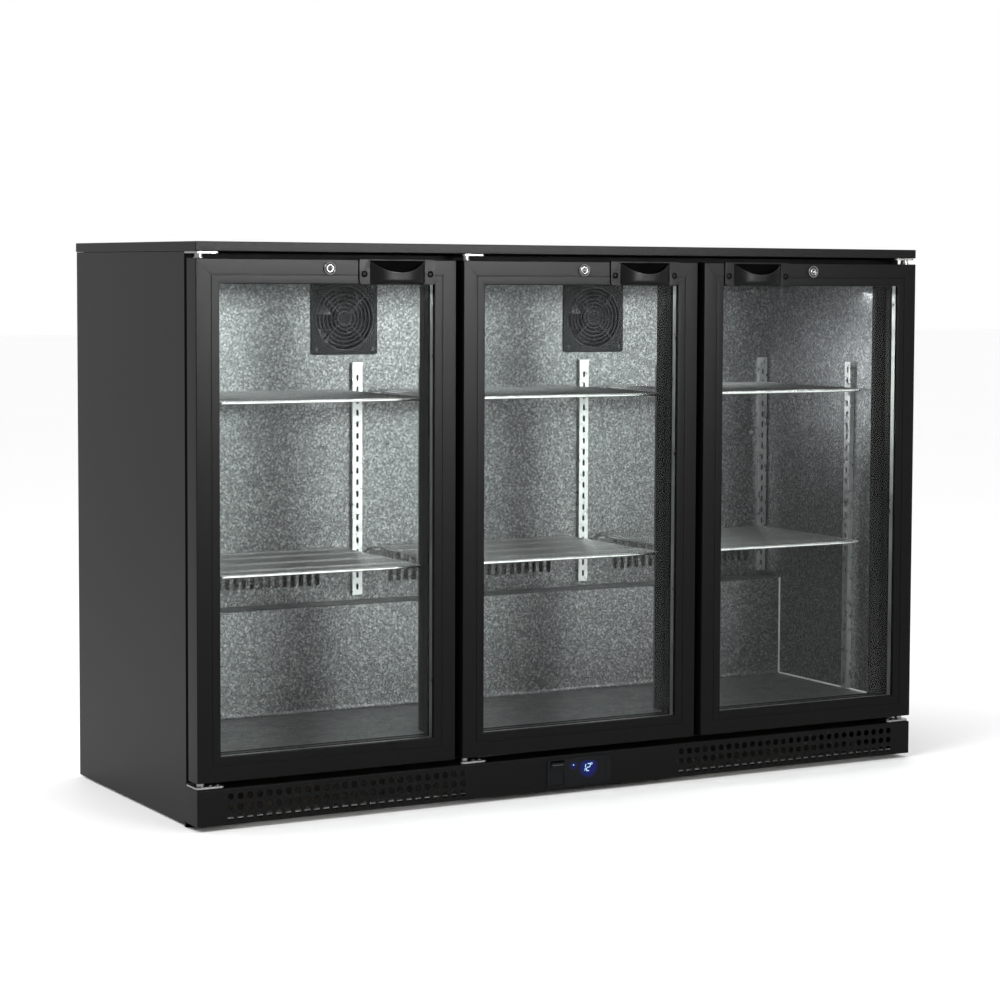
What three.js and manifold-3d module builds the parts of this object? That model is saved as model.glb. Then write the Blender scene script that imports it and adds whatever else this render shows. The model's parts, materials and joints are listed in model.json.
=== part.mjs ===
// Three-door undercounter refrigerator: a black back-bar cooler with glass doors.
// Millimetres, +Z up, +X to the right, the doors face -Y. The origin is on the floor, under the
// centre of the overall box.
import * as THREE from 'three';
import { mergeVertices } from 'three/addons/utils/BufferGeometryUtils.js';
import Module from 'manifold-3d';

const wasm = await Module();
wasm.setup();

// ---------------------------------------------------------------- driving dimensions
const WIDTH = 1350;
const DEPTH = 530; // worktop, front to back
const HEIGHT = 900;
const HANDLE_PROUD = 15; // handles stand this far in front of the doors
const GAP = 0.3; // play between pieces that touch
const SHEET = 1.5; // folded sheet metal

const LEFT = -WIDTH / 2;
const RIGHT = WIDTH / 2;
const FRONT = (HANDLE_PROUD - DEPTH) / 2; // front plane of doors, worktop and kick panel
const BACK = FRONT + DEPTH;

const WORKTOP_THICKNESS = 15;
const WORKTOP_BOTTOM = HEIGHT - WORKTOP_THICKNESS;

// cabinet body
const BODY_FRONT = FRONT + 50; // front edge of side panels and face frame
const BODY_BOTTOM = 3; // lower edge of the side panels
const BASE_SHEET = [6, 8]; // lower and upper face of the base pan
const BODY_TOP = WORKTOP_BOTTOM - 3.6; // leaves room for the upper hinge plates and their play
const SIDE_INSET = 1.5; // side panels behind the worktop's edge
const SKIN = SIDE_INSET + SHEET + GAP; // from the worktop's edge to what is inside the side panels
const BACK_PANEL_FACE = BACK - 6.5;
const BODY_BACK = BACK_PANEL_FACE - SHEET - GAP;

// cold space
const WALL = 50; // worktop edge to the liner's inner face
const BAY_LEFT = LEFT + WALL;
const BAY_RIGHT = RIGHT - WALL;
const FLOOR_Z = 110;
const CEILING_Z = 840;
const LINER_BACK = FRONT + 480;
const STEP_FRONT = FRONT + 340; // the liner steps up over the machine compartment
const STEP_TOP = 290;
const FOAM = 40;
const FOAM_BOTTOM = 70;
const LINER_SHEET = 1.2;

// face frame
const FACE_DEPTH = 10;
const MULLION_WIDTH = 60;
const MULLION_DEPTH = 40;
const MULLION_X = [-225, 225];
const BAYS = [
  [BAY_LEFT, MULLION_X[0] - MULLION_WIDTH / 2],
  [MULLION_X[0] + MULLION_WIDTH / 2, MULLION_X[1] - MULLION_WIDTH / 2],
  [MULLION_X[1] + MULLION_WIDTH / 2, BAY_RIGHT],
];

// kick panel
const KICK_BOTTOM = 8;
const KICK_TOP = 65;
const KICK_RETURN = 48;
const KICK_HOLE = 10.4;
const KICK_PITCH = 16.05;
const KICK_ROWS = [18.9, 35.1, 51.3];
const KICK_GROUPS = [
  { first: LEFT + 54.5, columns: 26 },
  { first: RIGHT - 46 - 27 * KICK_PITCH, columns: 28 },
];

// doors
const DOOR_GAP = 13.5;
const DOOR_WIDTH = (WIDTH - 2 * DOOR_GAP) / 3;
const DOOR_BOTTOM = 75;
const DOOR_HEIGHT = 799.5;
const DOOR_DEPTH = 36;
const RAIL = 38.5; // visible width of the door frame
const GLASS_EDGE = 28; // door edge to the edge of the glass unit
const GLASS_FRONT = 3;
const PANE = 4;
const GLASS_DEPTH = 20;
const SPACER = 10;
const GASKET_EDGE = 12.3;
const GASKET_WIDTH = 14;
const HINGE_EDGE = 12; // door edge to the hinge pin's axis
const HINGE_DEPTH = 18; // door front to the hinge pin's axis
const PIN_DEPTH = 14; // pin inside the door, above and below
const PIN_RADIUS = 4;
const PIN_PLAY = 0.6;
const PLATE_THICKNESS = 3;
const PLATE_Y = [4, 49]; // behind the door's front plane
const UPPER_PLATE_LENGTH = 40;
const LOWER_PLATE_LENGTH = 46;
const TONGUE_BACK = 100; // the upper plate runs back under the worktop to here
const LOCK_DROP = 14; // door top to the lock's axis
const LOCK_RADIUS = 10.5;
const LOCK_BORE = 7.4;
const PLUG_RADIUS = 6.9;
const BARREL_Y = [-3.5, 30]; // ahead of and behind the door's front plane
const PLUG_Y = [-3, 29];
const KEY_SLOT = [2, 9]; // width and height

// handles
const HANDLE_WIDTH = 131;
const HANDLE_FREE_EDGE = 39.5; // door's free edge to the handle
const HANDLE_HEIGHT = 38.5;
const HANDLE_PLATE = 3;
const CUP_WIDTH = 96;
const CUP_WALL = 2.5;
const SMILE_DROP = 20.5; // depth of the arc cut in the cup's lip
const SMILE_END_DROP = 4;

// shelves
const SHELF_TOPS = [385, 655];
const SHELF_THICKNESS = 6;
const SHELF_FRONT = FRONT + 65;
const SHELF_BACK = FRONT + 380;
const SHELF_BAR = 5;
const SHELF_PITCH = 25;
const SHELF_SIDE_PLAY = [[12, 3], [3, 3], [3, 12]];

// cooling
const COVER_FRONT = FRONT + 393; // the panel in front of the evaporator
const FAN_X = [-247, 247];
const FAN_Z = 776;
const FAN_FRAME = 124;
const FAN_OPENING = 54;
const FAN_BLADE = 49;
const SLOT_WIDTH = 9;
const SLOT_PITCH = 15;
const SLOT_BOTTOM = 318;
const SLOT_TOP = 376;

// machine compartment
const MACHINE_Y = (STEP_FRONT + FOAM + BODY_BACK) / 2;
const MACHINE_FLOOR = BASE_SHEET[1] + GAP;
const COMPRESSOR_X = -430;
const CONDENSER_X = 120;
const CONDENSER_Z = 118;
const CONDENSER_HALF_WIDTH = 62;
const CONDENSER_THICKNESS = 44;
const CONDENSER_FAN = { radius: 56, offset: 65 };

// both kinds of axial fan
const HUB_RADIUS = 15;
const ROTOR_DEPTH = 18;
const SHAFT_RADIUS = 2.5;

// ---------------------------------------------------------------- shape helpers
function toSolid(geometry) {
  const bare = geometry.clone();
  bare.deleteAttribute('normal');
  bare.deleteAttribute('uv');
  const merged = mergeVertices(bare, 1e-4);
  return new wasm.Manifold(new wasm.Mesh({
    numProp: 3,
    vertProperties: new Float32Array(merged.attributes.position.array),
    triVerts: new Uint32Array(merged.index.array),
  }));
}

function toGeometry(solid) {
  const mesh = solid.getMesh();
  const geometry = new THREE.BufferGeometry();
  geometry.setAttribute('position', new THREE.BufferAttribute(new Float32Array(mesh.vertProperties), 3));
  geometry.setIndex(new THREE.BufferAttribute(new Uint32Array(mesh.triVerts), 1));
  geometry.computeVertexNormals();
  return geometry;
}

function join(first, ...others) {
  let solid = toSolid(first);
  for (const other of others) {
    solid = solid.add(toSolid(other));
  }
  return toGeometry(solid);
}

function cut(first, ...tools) {
  let solid = toSolid(first);
  for (const tool of tools) {
    solid = solid.subtract(toSolid(tool));
  }
  return toGeometry(solid);
}

// The span of a cutting tool that passes clear through a sheet.
function through([low, high]) {
  return [low - 1, high + 1];
}

// A box given by its limits.
function block([x0, x1], [y0, y1], [z0, z1]) {
  const box = new THREE.BoxGeometry(x1 - x0, y1 - y0, z1 - z0);
  return box.translate((x0 + x1) / 2, (y0 + y1) / 2, (z0 + z1) / 2);
}

function outline(points) {
  return new THREE.Shape(points.map(([a, b]) => new THREE.Vector2(a, b)));
}

function rectangle([a0, a1], [b0, b1]) {
  return outline([[a0, b0], [a1, b0], [a1, b1], [a0, b1]]);
}

function extruded(shape, depth) {
  return new THREE.ExtrudeGeometry(shape, { depth, bevelEnabled: false, curveSegments: 12 });
}

// A shape drawn in X and Y, standing from z0 to z1.
function plateXY(shape, [z0, z1]) {
  return extruded(shape, z1 - z0).translate(0, 0, z0);
}

// A shape drawn in X and Z, from y0 at its front to y1 at its back.
function plateXZ(shape, [y0, y1]) {
  return extruded(shape, y1 - y0).rotateX(Math.PI / 2).translate(0, y1, 0);
}

// A shape drawn in Y and Z, from x0 to x1.
function plateYZ(shape, [x0, x1]) {
  const turn = new THREE.Matrix4().makeBasis(
    new THREE.Vector3(0, 1, 0), new THREE.Vector3(0, 0, 1), new THREE.Vector3(1, 0, 0));
  return extruded(shape, x1 - x0).applyMatrix4(turn).translate(x0, 0, 0);
}

function rodZ(radius, x, y, [z0, z1], sides = 12) {
  const rod = new THREE.CylinderGeometry(radius, radius, z1 - z0, sides);
  return rod.rotateX(Math.PI / 2).translate(x, y, (z0 + z1) / 2);
}

function rodY(radius, x, [y0, y1], z, sides = 16) {
  const rod = new THREE.CylinderGeometry(radius, radius, y1 - y0, sides);
  return rod.translate(x, (y0 + y1) / 2, z);
}

function rodX(radius, [x0, x1], y, z, sides = 16) {
  const rod = new THREE.CylinderGeometry(radius, radius, x1 - x0, sides);
  return rod.rotateZ(Math.PI / 2).translate((x0 + x1) / 2, y, z);
}

function arcPoints(radius, steps, from, to) {
  return range(steps + 1).map((i) => {
    const angle = from + ((to - from) * i) / steps;
    return [radius * Math.cos(angle), radius * Math.sin(angle)];
  });
}

function hole(points) {
  return new THREE.Path(points.map(([a, b]) => new THREE.Vector2(a, b)));
}

function rectangleHole([a0, a1], [b0, b1]) {
  return hole([[a0, b0], [a1, b0], [a1, b1], [a0, b1]]);
}

function range(count) {
  return Array.from({ length: count }, (_, i) => i);
}

// ---------------------------------------------------------------- materials
function finish(color, roughness, metalness, extra = {}) {
  return new THREE.MeshStandardMaterial({ color, roughness, metalness, ...extra });
}

const blackSteel = () => finish(0x232422, 0.45, 0.4);
const blackFrame = () => finish(0x262624, 0.5, 0.5);
const linerSheet = () => finish(0xb4b4b0, 0.35, 0.9);
const bareSteel = () => finish(0xc2c2c0, 0.3, 1);
const wireSteel = () => finish(0xd8d8d6, 0.25, 0.9);
const blackPlastic = () => finish(0x1b1b1b, 0.45, 0);
const glossBlack = () => finish(0x0b0c0d, 0.12, 0);
const foam = () => finish(0xe3d6a8, 0.9, 0);
const rubber = () => finish(0x161616, 0.8, 0);
const chrome = () => finish(0xdddddd, 0.1, 1);
const paleFins = () => finish(0xb9bcc0, 0.4, 0.8);

const fridge = new THREE.Group();

function add(parent, name, geometry, material) {
  const mesh = new THREE.Mesh(geometry, material);
  mesh.name = name;
  parent.add(mesh);
  return mesh;
}

// ---------------------------------------------------------------- outer casing
function worktop() {
  return block([LEFT, RIGHT], [FRONT, BACK], [WORKTOP_BOTTOM, HEIGHT]);
}

function sidePanel(side) {
  const outer = side * (RIGHT - SIDE_INSET);
  const inner = outer - side * SHEET;
  const xs = [Math.min(outer, inner), Math.max(outer, inner)];
  return block(xs, [BODY_FRONT, BACK], [BODY_BOTTOM, WORKTOP_BOTTOM - GAP]);
}

// Sheet with vent slots over the machine compartment and a boss for the mains gland.
function backPanel() {
  const slotLength = 150;
  const slotHeight = 6;
  const slotPitch = 16;
  const slotRows = 9;
  const lowestSlot = 70;
  const gland = { radius: 9, x: 480, z: 60 };
  const ys = [BACK_PANEL_FACE - SHEET, BACK_PANEL_FACE];
  const slots = [];
  for (const centre of [COMPRESSOR_X, CONDENSER_X + 30]) {
    for (const row of range(slotRows)) {
      const z = lowestSlot + row * slotPitch;
      slots.push(block([centre - slotLength / 2, centre + slotLength / 2], through(ys), [z, z + slotHeight]));
    }
  }
  const sheet = block([LEFT + SKIN, RIGHT - SKIN], ys, [BASE_SHEET[1] + GAP, BODY_TOP]);
  const boss = rodY(gland.radius, gland.x, [ys[0], BACK - 1], gland.z, 12);
  return join(cut(sheet, ...slots), boss);
}

const FEET_X = [LEFT + 60, RIGHT - 60];
const FEET_Y = [BODY_FRONT + 40, BACK - 60];
const FOOT_RADII = [18, 20]; // top and bottom
const STUD_Z = [1, 28];

function basePan() {
  const sheet = block([LEFT + SKIN, RIGHT - SKIN], [BODY_FRONT + GAP, BODY_BACK], BASE_SHEET);
  const bore = (x, y) => rodZ(PIN_RADIUS + PIN_PLAY, x, y, through(BASE_SHEET));
  const bores = FEET_X.flatMap((x) => FEET_Y.map((y) => bore(x, y)));
  return cut(sheet, ...bores);
}

function foot(x, y) {
  const height = BASE_SHEET[0] - GAP;
  const pad = new THREE.CylinderGeometry(...FOOT_RADII, height, 20);
  pad.rotateX(Math.PI / 2).translate(x, y, height / 2);
  return join(pad, rodZ(PIN_RADIUS, x, y, STUD_Z));
}

// ---------------------------------------------------------------- insulated tank
// Outline in Y and Z of the cold space, grown by a margin, open towards the front at frontY.
function coldSpace(margin, frontY) {
  return outline([
    [frontY, FLOOR_Z - margin],
    [STEP_FRONT + margin, FLOOR_Z - margin],
    [STEP_FRONT + margin, STEP_TOP - margin],
    [LINER_BACK + margin, STEP_TOP - margin],
    [LINER_BACK + margin, CEILING_Z + margin],
    [frontY, CEILING_Z + margin],
  ]);
}

const TANK_FRONT = BODY_FRONT + FACE_DEPTH + GAP;

function liner() {
  const ends = [BAY_LEFT - LINER_SHEET, BAY_RIGHT + LINER_SHEET];
  const outer = plateYZ(coldSpace(LINER_SHEET, TANK_FRONT), ends);
  const inner = plateYZ(coldSpace(0, TANK_FRONT - 20), [BAY_LEFT, BAY_RIGHT]);
  return cut(outer, inner);
}

function insulation() {
  const margin = LINER_SHEET + GAP;
  const outer = plateYZ(outline([
    [TANK_FRONT, FOAM_BOTTOM],
    [STEP_FRONT + FOAM, FOAM_BOTTOM],
    [STEP_FRONT + FOAM, STEP_TOP - FOAM],
    [BODY_BACK, STEP_TOP - FOAM],
    [BODY_BACK, BODY_TOP],
    [TANK_FRONT, BODY_TOP],
  ]), [LEFT + SKIN, RIGHT - SKIN]);
  const inner = plateYZ(coldSpace(margin, TANK_FRONT - 20), [BAY_LEFT - margin, BAY_RIGHT + margin]);
  return cut(outer, inner);
}

// Plastic face that the door seals close on, with the two mullions between the bays.
function faceFrame() {
  const ys = [BODY_FRONT, BODY_FRONT + FACE_DEPTH];
  const bottom = KICK_TOP + PLATE_THICKNESS + 3 * GAP;
  const sheet = block([LEFT + SKIN, RIGHT - SKIN], ys, [bottom, BODY_TOP]);
  const face = cut(sheet, ...BAYS.map((bay) => block(bay, through(ys), [FLOOR_Z, CEILING_Z])));
  const posts = MULLION_X.map((x) => block(
    [x - MULLION_WIDTH / 2, x + MULLION_WIDTH / 2],
    [BODY_FRONT + 1, BODY_FRONT + MULLION_DEPTH],
    [FLOOR_Z + GAP, CEILING_Z - GAP]));
  return join(face, ...posts);
}

// ---------------------------------------------------------------- kick panel and controls
const BEZEL_X = [-64, 55.5];
const BEZEL_Z = [13, 59];
const BEZEL_PROUD = 1.8;
const BEZEL_DEPTH = 24;
const BEZEL_LIP = { side: 4, edge: 1 }; // how far the flange covers the panel round its cutout
const SWITCH_X = -45.5;
const SWITCH_Z = (BEZEL_Z[0] + BEZEL_Z[1]) / 2;
const SWITCH_WIDTH = 26;
const SWITCH_HALF_HEIGHT = 19.2;
const SWITCH_PIVOT_Y = FRONT + 6;
const SWITCH_TILT = 8; // degrees either side of the middle
const SWITCH_POCKET = { depth: 18, halfHeight: 20.9 };
const DISPLAY_X = [-26, 47];
const DISPLAY_Z = [20, 52];
const DISPLAY_PROUD = 1.4;
const DISPLAY_DEPTH = 12;

// The span left of an interval once the same margin is taken off both ends.
function inset([from, to], margin) {
  return [from + margin, to - margin];
}

function kickPanel() {
  const ys = [FRONT, FRONT + SHEET];
  const half = KICK_HOLE / 2;
  const holes = [block(inset(BEZEL_X, BEZEL_LIP.side), through(ys), inset(BEZEL_Z, BEZEL_LIP.edge))];
  for (const { first, columns } of KICK_GROUPS) {
    for (const column of range(columns)) {
      for (const z of KICK_ROWS) {
        const x = first + column * KICK_PITCH;
        holes.push(block([x - half, x + half], through(ys), [z - half, z + half]));
      }
    }
  }
  const outer = block([LEFT, RIGHT], [FRONT, FRONT + KICK_RETURN], [KICK_BOTTOM, KICK_TOP]);
  const inside = block(
    [LEFT + SHEET, RIGHT - SHEET],
    [FRONT + SHEET, FRONT + KICK_RETURN + 1],
    [KICK_BOTTOM - 1, KICK_TOP - SHEET]);
  return cut(outer, inside, ...holes);
}

function controlBezel() {
  const flange = block(BEZEL_X, [FRONT - BEZEL_PROUD, FRONT - GAP], BEZEL_Z);
  const body = block(
    inset(BEZEL_X, BEZEL_LIP.side + GAP),
    [FRONT - 1, FRONT + BEZEL_DEPTH],
    inset(BEZEL_Z, BEZEL_LIP.edge + GAP));
  const beforeBezel = FRONT - 10;
  const switchPocket = block(
    [SWITCH_X - SWITCH_WIDTH / 2 - GAP, SWITCH_X + SWITCH_WIDTH / 2 + GAP],
    [beforeBezel, FRONT + SWITCH_POCKET.depth],
    [SWITCH_Z - SWITCH_POCKET.halfHeight, SWITCH_Z + SWITCH_POCKET.halfHeight]);
  const displayPocket = block(
    inset(DISPLAY_X, -GAP),
    [beforeBezel, FRONT + DISPLAY_DEPTH],
    inset(DISPLAY_Z, -GAP));
  return cut(join(flange, body), switchPocket, displayPocket);
}

function displayModule() {
  return block(DISPLAY_X, [FRONT - DISPLAY_PROUD, FRONT + DISPLAY_DEPTH - GAP], DISPLAY_Z);
}

// Rocker with a shallow V face, drawn in Y and Z about its pivot, at rest with its top pressed in.
function rockerSwitch() {
  const valley = 6.5;
  const ridge = valley + SWITCH_HALF_HEIGHT * Math.tan(THREE.MathUtils.degToRad(SWITCH_TILT));
  const profile = outline([
    [-valley, 0],
    [-ridge, -SWITCH_HALF_HEIGHT],
    [1, -SWITCH_HALF_HEIGHT],
    [8, -5],
    [8, 5],
    [1, SWITCH_HALF_HEIGHT],
    [-ridge, SWITCH_HALF_HEIGHT],
  ]);
  const rocker = plateYZ(profile, [-SWITCH_WIDTH / 2, SWITCH_WIDTH / 2]);
  rocker.rotateX(THREE.MathUtils.degToRad(SWITCH_TILT));
  return rocker.translate(SWITCH_X, SWITCH_PIVOT_Y, SWITCH_Z);
}

// ---------------------------------------------------------------- hinges
// Plates are drawn with the door's hinge-side corner at x = 0; side is 1 where the door lies towards +X.
function across(side, [a, b]) {
  return side > 0 ? [a, b] : [-b, -a];
}

function hingePlate(side, length, zs, pin) {
  const plate = block(across(side, [0.5, length]), PLATE_Y, zs);
  return join(plate, rodZ(PIN_RADIUS, side * HINGE_EDGE, HINGE_DEPTH, pin));
}

function upperHinge(side) {
  const plateZ = [BODY_TOP + GAP, WORKTOP_BOTTOM - GAP];
  const pin = [DOOR_BOTTOM + DOOR_HEIGHT - PIN_DEPTH, plateZ[0] + 1];
  const tongue = block(across(side, [4, UPPER_PLATE_LENGTH]), [PLATE_Y[1] - 4, TONGUE_BACK], plateZ);
  return join(hingePlate(side, UPPER_PLATE_LENGTH, plateZ, pin), tongue);
}

function lowerHinge(side) {
  const plateZ = [KICK_TOP + GAP, KICK_TOP + GAP + PLATE_THICKNESS];
  return hingePlate(side, LOWER_PLATE_LENGTH, plateZ, [plateZ[1] - 1, DOOR_BOTTOM + PIN_DEPTH]);
}

// ---------------------------------------------------------------- doors
// A door is drawn with its lower left front corner at the origin.
function ring(inset, width, ys) {
  const shape = rectangle([inset, DOOR_WIDTH - inset], [inset, DOOR_HEIGHT - inset]);
  const inner = inset + width;
  shape.holes.push(rectangleHole([inner, DOOR_WIDTH - inner], [inner, DOOR_HEIGHT - inner]));
  return plateXZ(shape, ys);
}

function doorFrame(pinX, lockX) {
  const glassRoom = block(
    [GLASS_EDGE - GAP, DOOR_WIDTH - GLASS_EDGE + GAP],
    [GLASS_FRONT - GAP, GLASS_FRONT + GLASS_DEPTH + GAP],
    [GLASS_EDGE - GAP, DOOR_HEIGHT - GLASS_EDGE + GAP]);
  const boreDepth = PIN_DEPTH + 1;
  const bores = [[-1, boreDepth], [DOOR_HEIGHT - boreDepth, DOOR_HEIGHT + 1]].map(
    (zs) => rodZ(PIN_RADIUS + PIN_PLAY, pinX, HINGE_DEPTH, zs));
  const lockBore = rodY(LOCK_RADIUS + GAP, lockX, [-1, DOOR_DEPTH + 1], DOOR_HEIGHT - LOCK_DROP);
  return cut(ring(0, RAIL, [0, DOOR_DEPTH]), glassRoom, ...bores, lockBore);
}

// Two panes bonded to a spacer, with the breather hole of the spacer at the top.
function glassUnit() {
  const edge = GLASS_EDGE + SPACER;
  const unit = block(
    [GLASS_EDGE, DOOR_WIDTH - GLASS_EDGE],
    [GLASS_FRONT, GLASS_FRONT + GLASS_DEPTH],
    [GLASS_EDGE, DOOR_HEIGHT - GLASS_EDGE]);
  const cavity = block(
    [edge, DOOR_WIDTH - edge],
    [GLASS_FRONT + PANE, GLASS_FRONT + GLASS_DEPTH - PANE],
    [edge, DOOR_HEIGHT - edge]);
  const breather = block(
    [DOOR_WIDTH / 2 - 2, DOOR_WIDTH / 2 + 2],
    [GLASS_FRONT + 8, GLASS_FRONT + 12],
    [DOOR_HEIGHT - edge - 1, DOOR_HEIGHT - GLASS_EDGE + 1]);
  return cut(unit, cavity, breather);
}

// Moulded finger cup: two screw ears and a bowed lip with an arc cut in its top edge.
function handle(centreX) {
  const halfCup = CUP_WIDTH / 2;
  const bow = HANDLE_PROUD - GAP - HANDLE_PLATE + 1;
  const back = -GAP - HANDLE_PLATE + 1;
  const segment = (inset) => {
    const half = halfCup - inset;
    const sag = bow - inset;
    const points = range(13).map((i) => {
      const t = i / 6 - 1;
      return [t * half, back - sag * Math.sqrt(1 - t * t * t * t)];
    });
    return outline(points);
  };
  const plate = block([-HANDLE_WIDTH / 2, HANDLE_WIDTH / 2], [-GAP - HANDLE_PLATE, -GAP], [0, HANDLE_HEIGHT]);
  const cup = plateXY(segment(0), [0, HANDLE_HEIGHT]);
  const pocket = plateXY(segment(CUP_WALL), [CUP_WALL + 1, HANDLE_HEIGHT + 5]);
  const rise = SMILE_DROP - SMILE_END_DROP;
  const smileRadius = (halfCup * halfCup + rise * rise) / (2 * rise);
  const smileCentre = HANDLE_HEIGHT - SMILE_DROP + smileRadius;
  const smile = rodY(smileRadius, 0, [-HANDLE_PROUD - 5, -GAP - HANDLE_PLATE], smileCentre, 64);
  const shaped = cut(join(plate, cup), pocket, smile);
  return shaped.translate(centreX, 0, DOOR_HEIGHT - HANDLE_HEIGHT);
}

function lockBarrel(x) {
  const z = DOOR_HEIGHT - LOCK_DROP;
  return cut(rodY(LOCK_RADIUS, x, BARREL_Y, z), rodY(LOCK_BORE, x, through(BARREL_Y), z));
}

function lockPlug(x) {
  const z = DOOR_HEIGHT - LOCK_DROP;
  const [width, height] = KEY_SLOT;
  const keySlot = block([x - width / 2, x + width / 2], [PLUG_Y[0] - 3, 6], [z - height / 2, z + height / 2]);
  return cut(rodY(PLUG_RADIUS, x, PLUG_Y, z), keySlot);
}

const DOORS = [
  { number: 1, hinge: 'left' },
  { number: 2, hinge: 'left' },
  { number: 3, hinge: 'right' },
];

function buildDoor({ number, hinge }) {
  const onLeft = hinge === 'left';
  const pinX = onLeft ? HINGE_EDGE : DOOR_WIDTH - HINGE_EDGE;
  const lockX = DOOR_WIDTH / 2;
  const fromFreeEdge = HANDLE_FREE_EDGE + HANDLE_WIDTH / 2;
  const handleX = onLeft ? DOOR_WIDTH - fromFreeEdge : fromFreeEdge;
  const name = `door_${number}`;
  const left = LEFT + (number - 1) * (DOOR_WIDTH + DOOR_GAP);

  const door = new THREE.Group();
  door.position.set(left, FRONT, DOOR_BOTTOM);
  add(door, `${name}_frame`, doorFrame(pinX, lockX), blackFrame());
  add(door, `${name}_glass`, glassUnit(), finish(0xdfe8e6, 0.03, 0, { transparent: true, opacity: 0.25 }));
  const gasket = ring(GASKET_EDGE, GASKET_WIDTH, [DOOR_DEPTH + GAP, BODY_FRONT - FRONT - 0.6]);
  add(door, `${name}_gasket`, gasket, rubber());
  add(door, `${name}_handle`, handle(handleX), blackPlastic());
  add(door, `${name}_lock_barrel`, lockBarrel(lockX), chrome());
  add(door, `${name}_lock_plug`, lockPlug(lockX), chrome());
  fridge.add(door);

  const side = onLeft ? 1 : -1;
  const cornerX = onLeft ? left : left + DOOR_WIDTH;
  add(fridge, `hinge_${number}_upper`, upperHinge(side).translate(cornerX, FRONT, 0), bareSteel());
  add(fridge, `hinge_${number}_lower`, lowerHinge(side).translate(cornerX, FRONT, 0), bareSteel());
}

// ---------------------------------------------------------------- shelves and their uprights
function shelf(bay, top) {
  const [playLeft, playRight] = SHELF_SIDE_PLAY[bay];
  const x0 = BAYS[bay][0] + playLeft;
  const x1 = BAYS[bay][1] - playRight;
  const zs = [top - SHELF_THICKNESS, top];
  const spaces = Math.floor((x1 - x0 - SHELF_BAR) / SHELF_PITCH);
  const pitch = (x1 - x0 - SHELF_BAR) / spaces;
  const slots = range(spaces).map((i) => {
    const start = x0 + SHELF_BAR + i * pitch;
    const ys = [SHELF_FRONT + SHELF_BAR, SHELF_BACK - SHELF_BAR];
    return block([start, start + pitch - SHELF_BAR], ys, through(zs));
  });
  return cut(block([x0, x1], [SHELF_FRONT, SHELF_BACK], zs), ...slots);
}

const UPRIGHT_Y = [FRONT + 111, FRONT + 127];
const UPRIGHT_PROUD = 9.7;
const UPRIGHT_TOP = 700;
const UPRIGHT_Z = [FLOOR_Z + 2, UPRIGHT_TOP];

// Channel that stands on a side wall of the liner and opens towards it.
function wallUpright(side) {
  const wall = side * (BAY_RIGHT - GAP);
  const proud = wall - side * UPRIGHT_PROUD;
  const web = proud + side * SHEET;
  const [y0, y1] = UPRIGHT_Y;
  return plateXY(outline([
    [wall, y0],
    [proud, y0],
    [proud, y1],
    [wall, y1],
    [wall, y1 - SHEET],
    [web, y1 - SHEET],
    [web, y0 + SHEET],
    [wall, y0 + SHEET],
  ]), UPRIGHT_Z);
}

// Flat strip on the back of a mullion, with an edge towards each bay.
function mullionUpright(x) {
  const front = BODY_FRONT + MULLION_DEPTH + GAP;
  return block([x - 28, x + 28], [front, front + 6], UPRIGHT_Z);
}

// ---------------------------------------------------------------- refrigeration
// Panel in front of the evaporator: fan openings above, air slots below, four ribs for the shelves.
function evaporatorCover() {
  const ys = [COVER_FRONT, COVER_FRONT + LINER_SHEET];
  const openings = FAN_X.map((x) => rodY(FAN_OPENING, x, through(ys), FAN_Z, 20));
  for (const [x0, x1] of BAYS) {
    const count = Math.floor((x1 - x0 - 60) / SLOT_PITCH);
    const first = (x0 + x1 - (count - 1) * SLOT_PITCH) / 2;
    for (const i of range(count)) {
      const x = first + i * SLOT_PITCH;
      openings.push(block([x - SLOT_WIDTH / 2, x + SLOT_WIDTH / 2], through(ys), [SLOT_BOTTOM, SLOT_TOP]));
    }
  }
  const blank = block([BAY_LEFT + 0.6, BAY_RIGHT - 0.6], ys, [STEP_TOP + 0.6, CEILING_Z - 0.6]);
  const sheet = cut(blank, ...openings);
  const ribs = [BAY_LEFT + 12, ...MULLION_X, BAY_RIGHT - 12].map((x) => block(
    [x - 9, x + 9], [COVER_FRONT - 8, COVER_FRONT + 0.5], [STEP_TOP + 10, UPRIGHT_TOP]));
  return join(sheet, ...ribs);
}

// Square guard with rings and four spokes, the fan's motor can behind it and the stub of its shaft.
function fanGuard(x) {
  const half = FAN_FRAME / 2;
  const ys = [COVER_FRONT - 2.5, COVER_FRONT - GAP];
  const windows = [];
  const rings = [[20, 30], [32.5, 42], [44.5, FAN_OPENING - 2]];
  const halfSpoke = 1.5;
  for (const [inner, outer] of rings) {
    for (const quarter of range(4)) {
      const start = (quarter * Math.PI) / 2;
      const end = start + Math.PI / 2;
      const outerArc = arcPoints(outer, 4, start + halfSpoke / outer, end - halfSpoke / outer);
      const innerArc = arcPoints(inner, 4, start + halfSpoke / inner, end - halfSpoke / inner);
      windows.push(plateXZ(outline([...outerArc, ...innerArc.reverse()]), through(ys)));
    }
  }
  const plate = cut(block([-half, half], ys, [-half, half]), ...windows);
  const motor = rodY(HUB_RADIUS, 0, [COVER_FRONT - 1, COVER_FRONT + 6], 0);
  const shaft = rodY(SHAFT_RADIUS, 0, [COVER_FRONT + 5, COVER_FRONT + 28], 0, 12);
  return join(plate, motor, shaft).translate(x, 0, FAN_Z);
}

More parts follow.
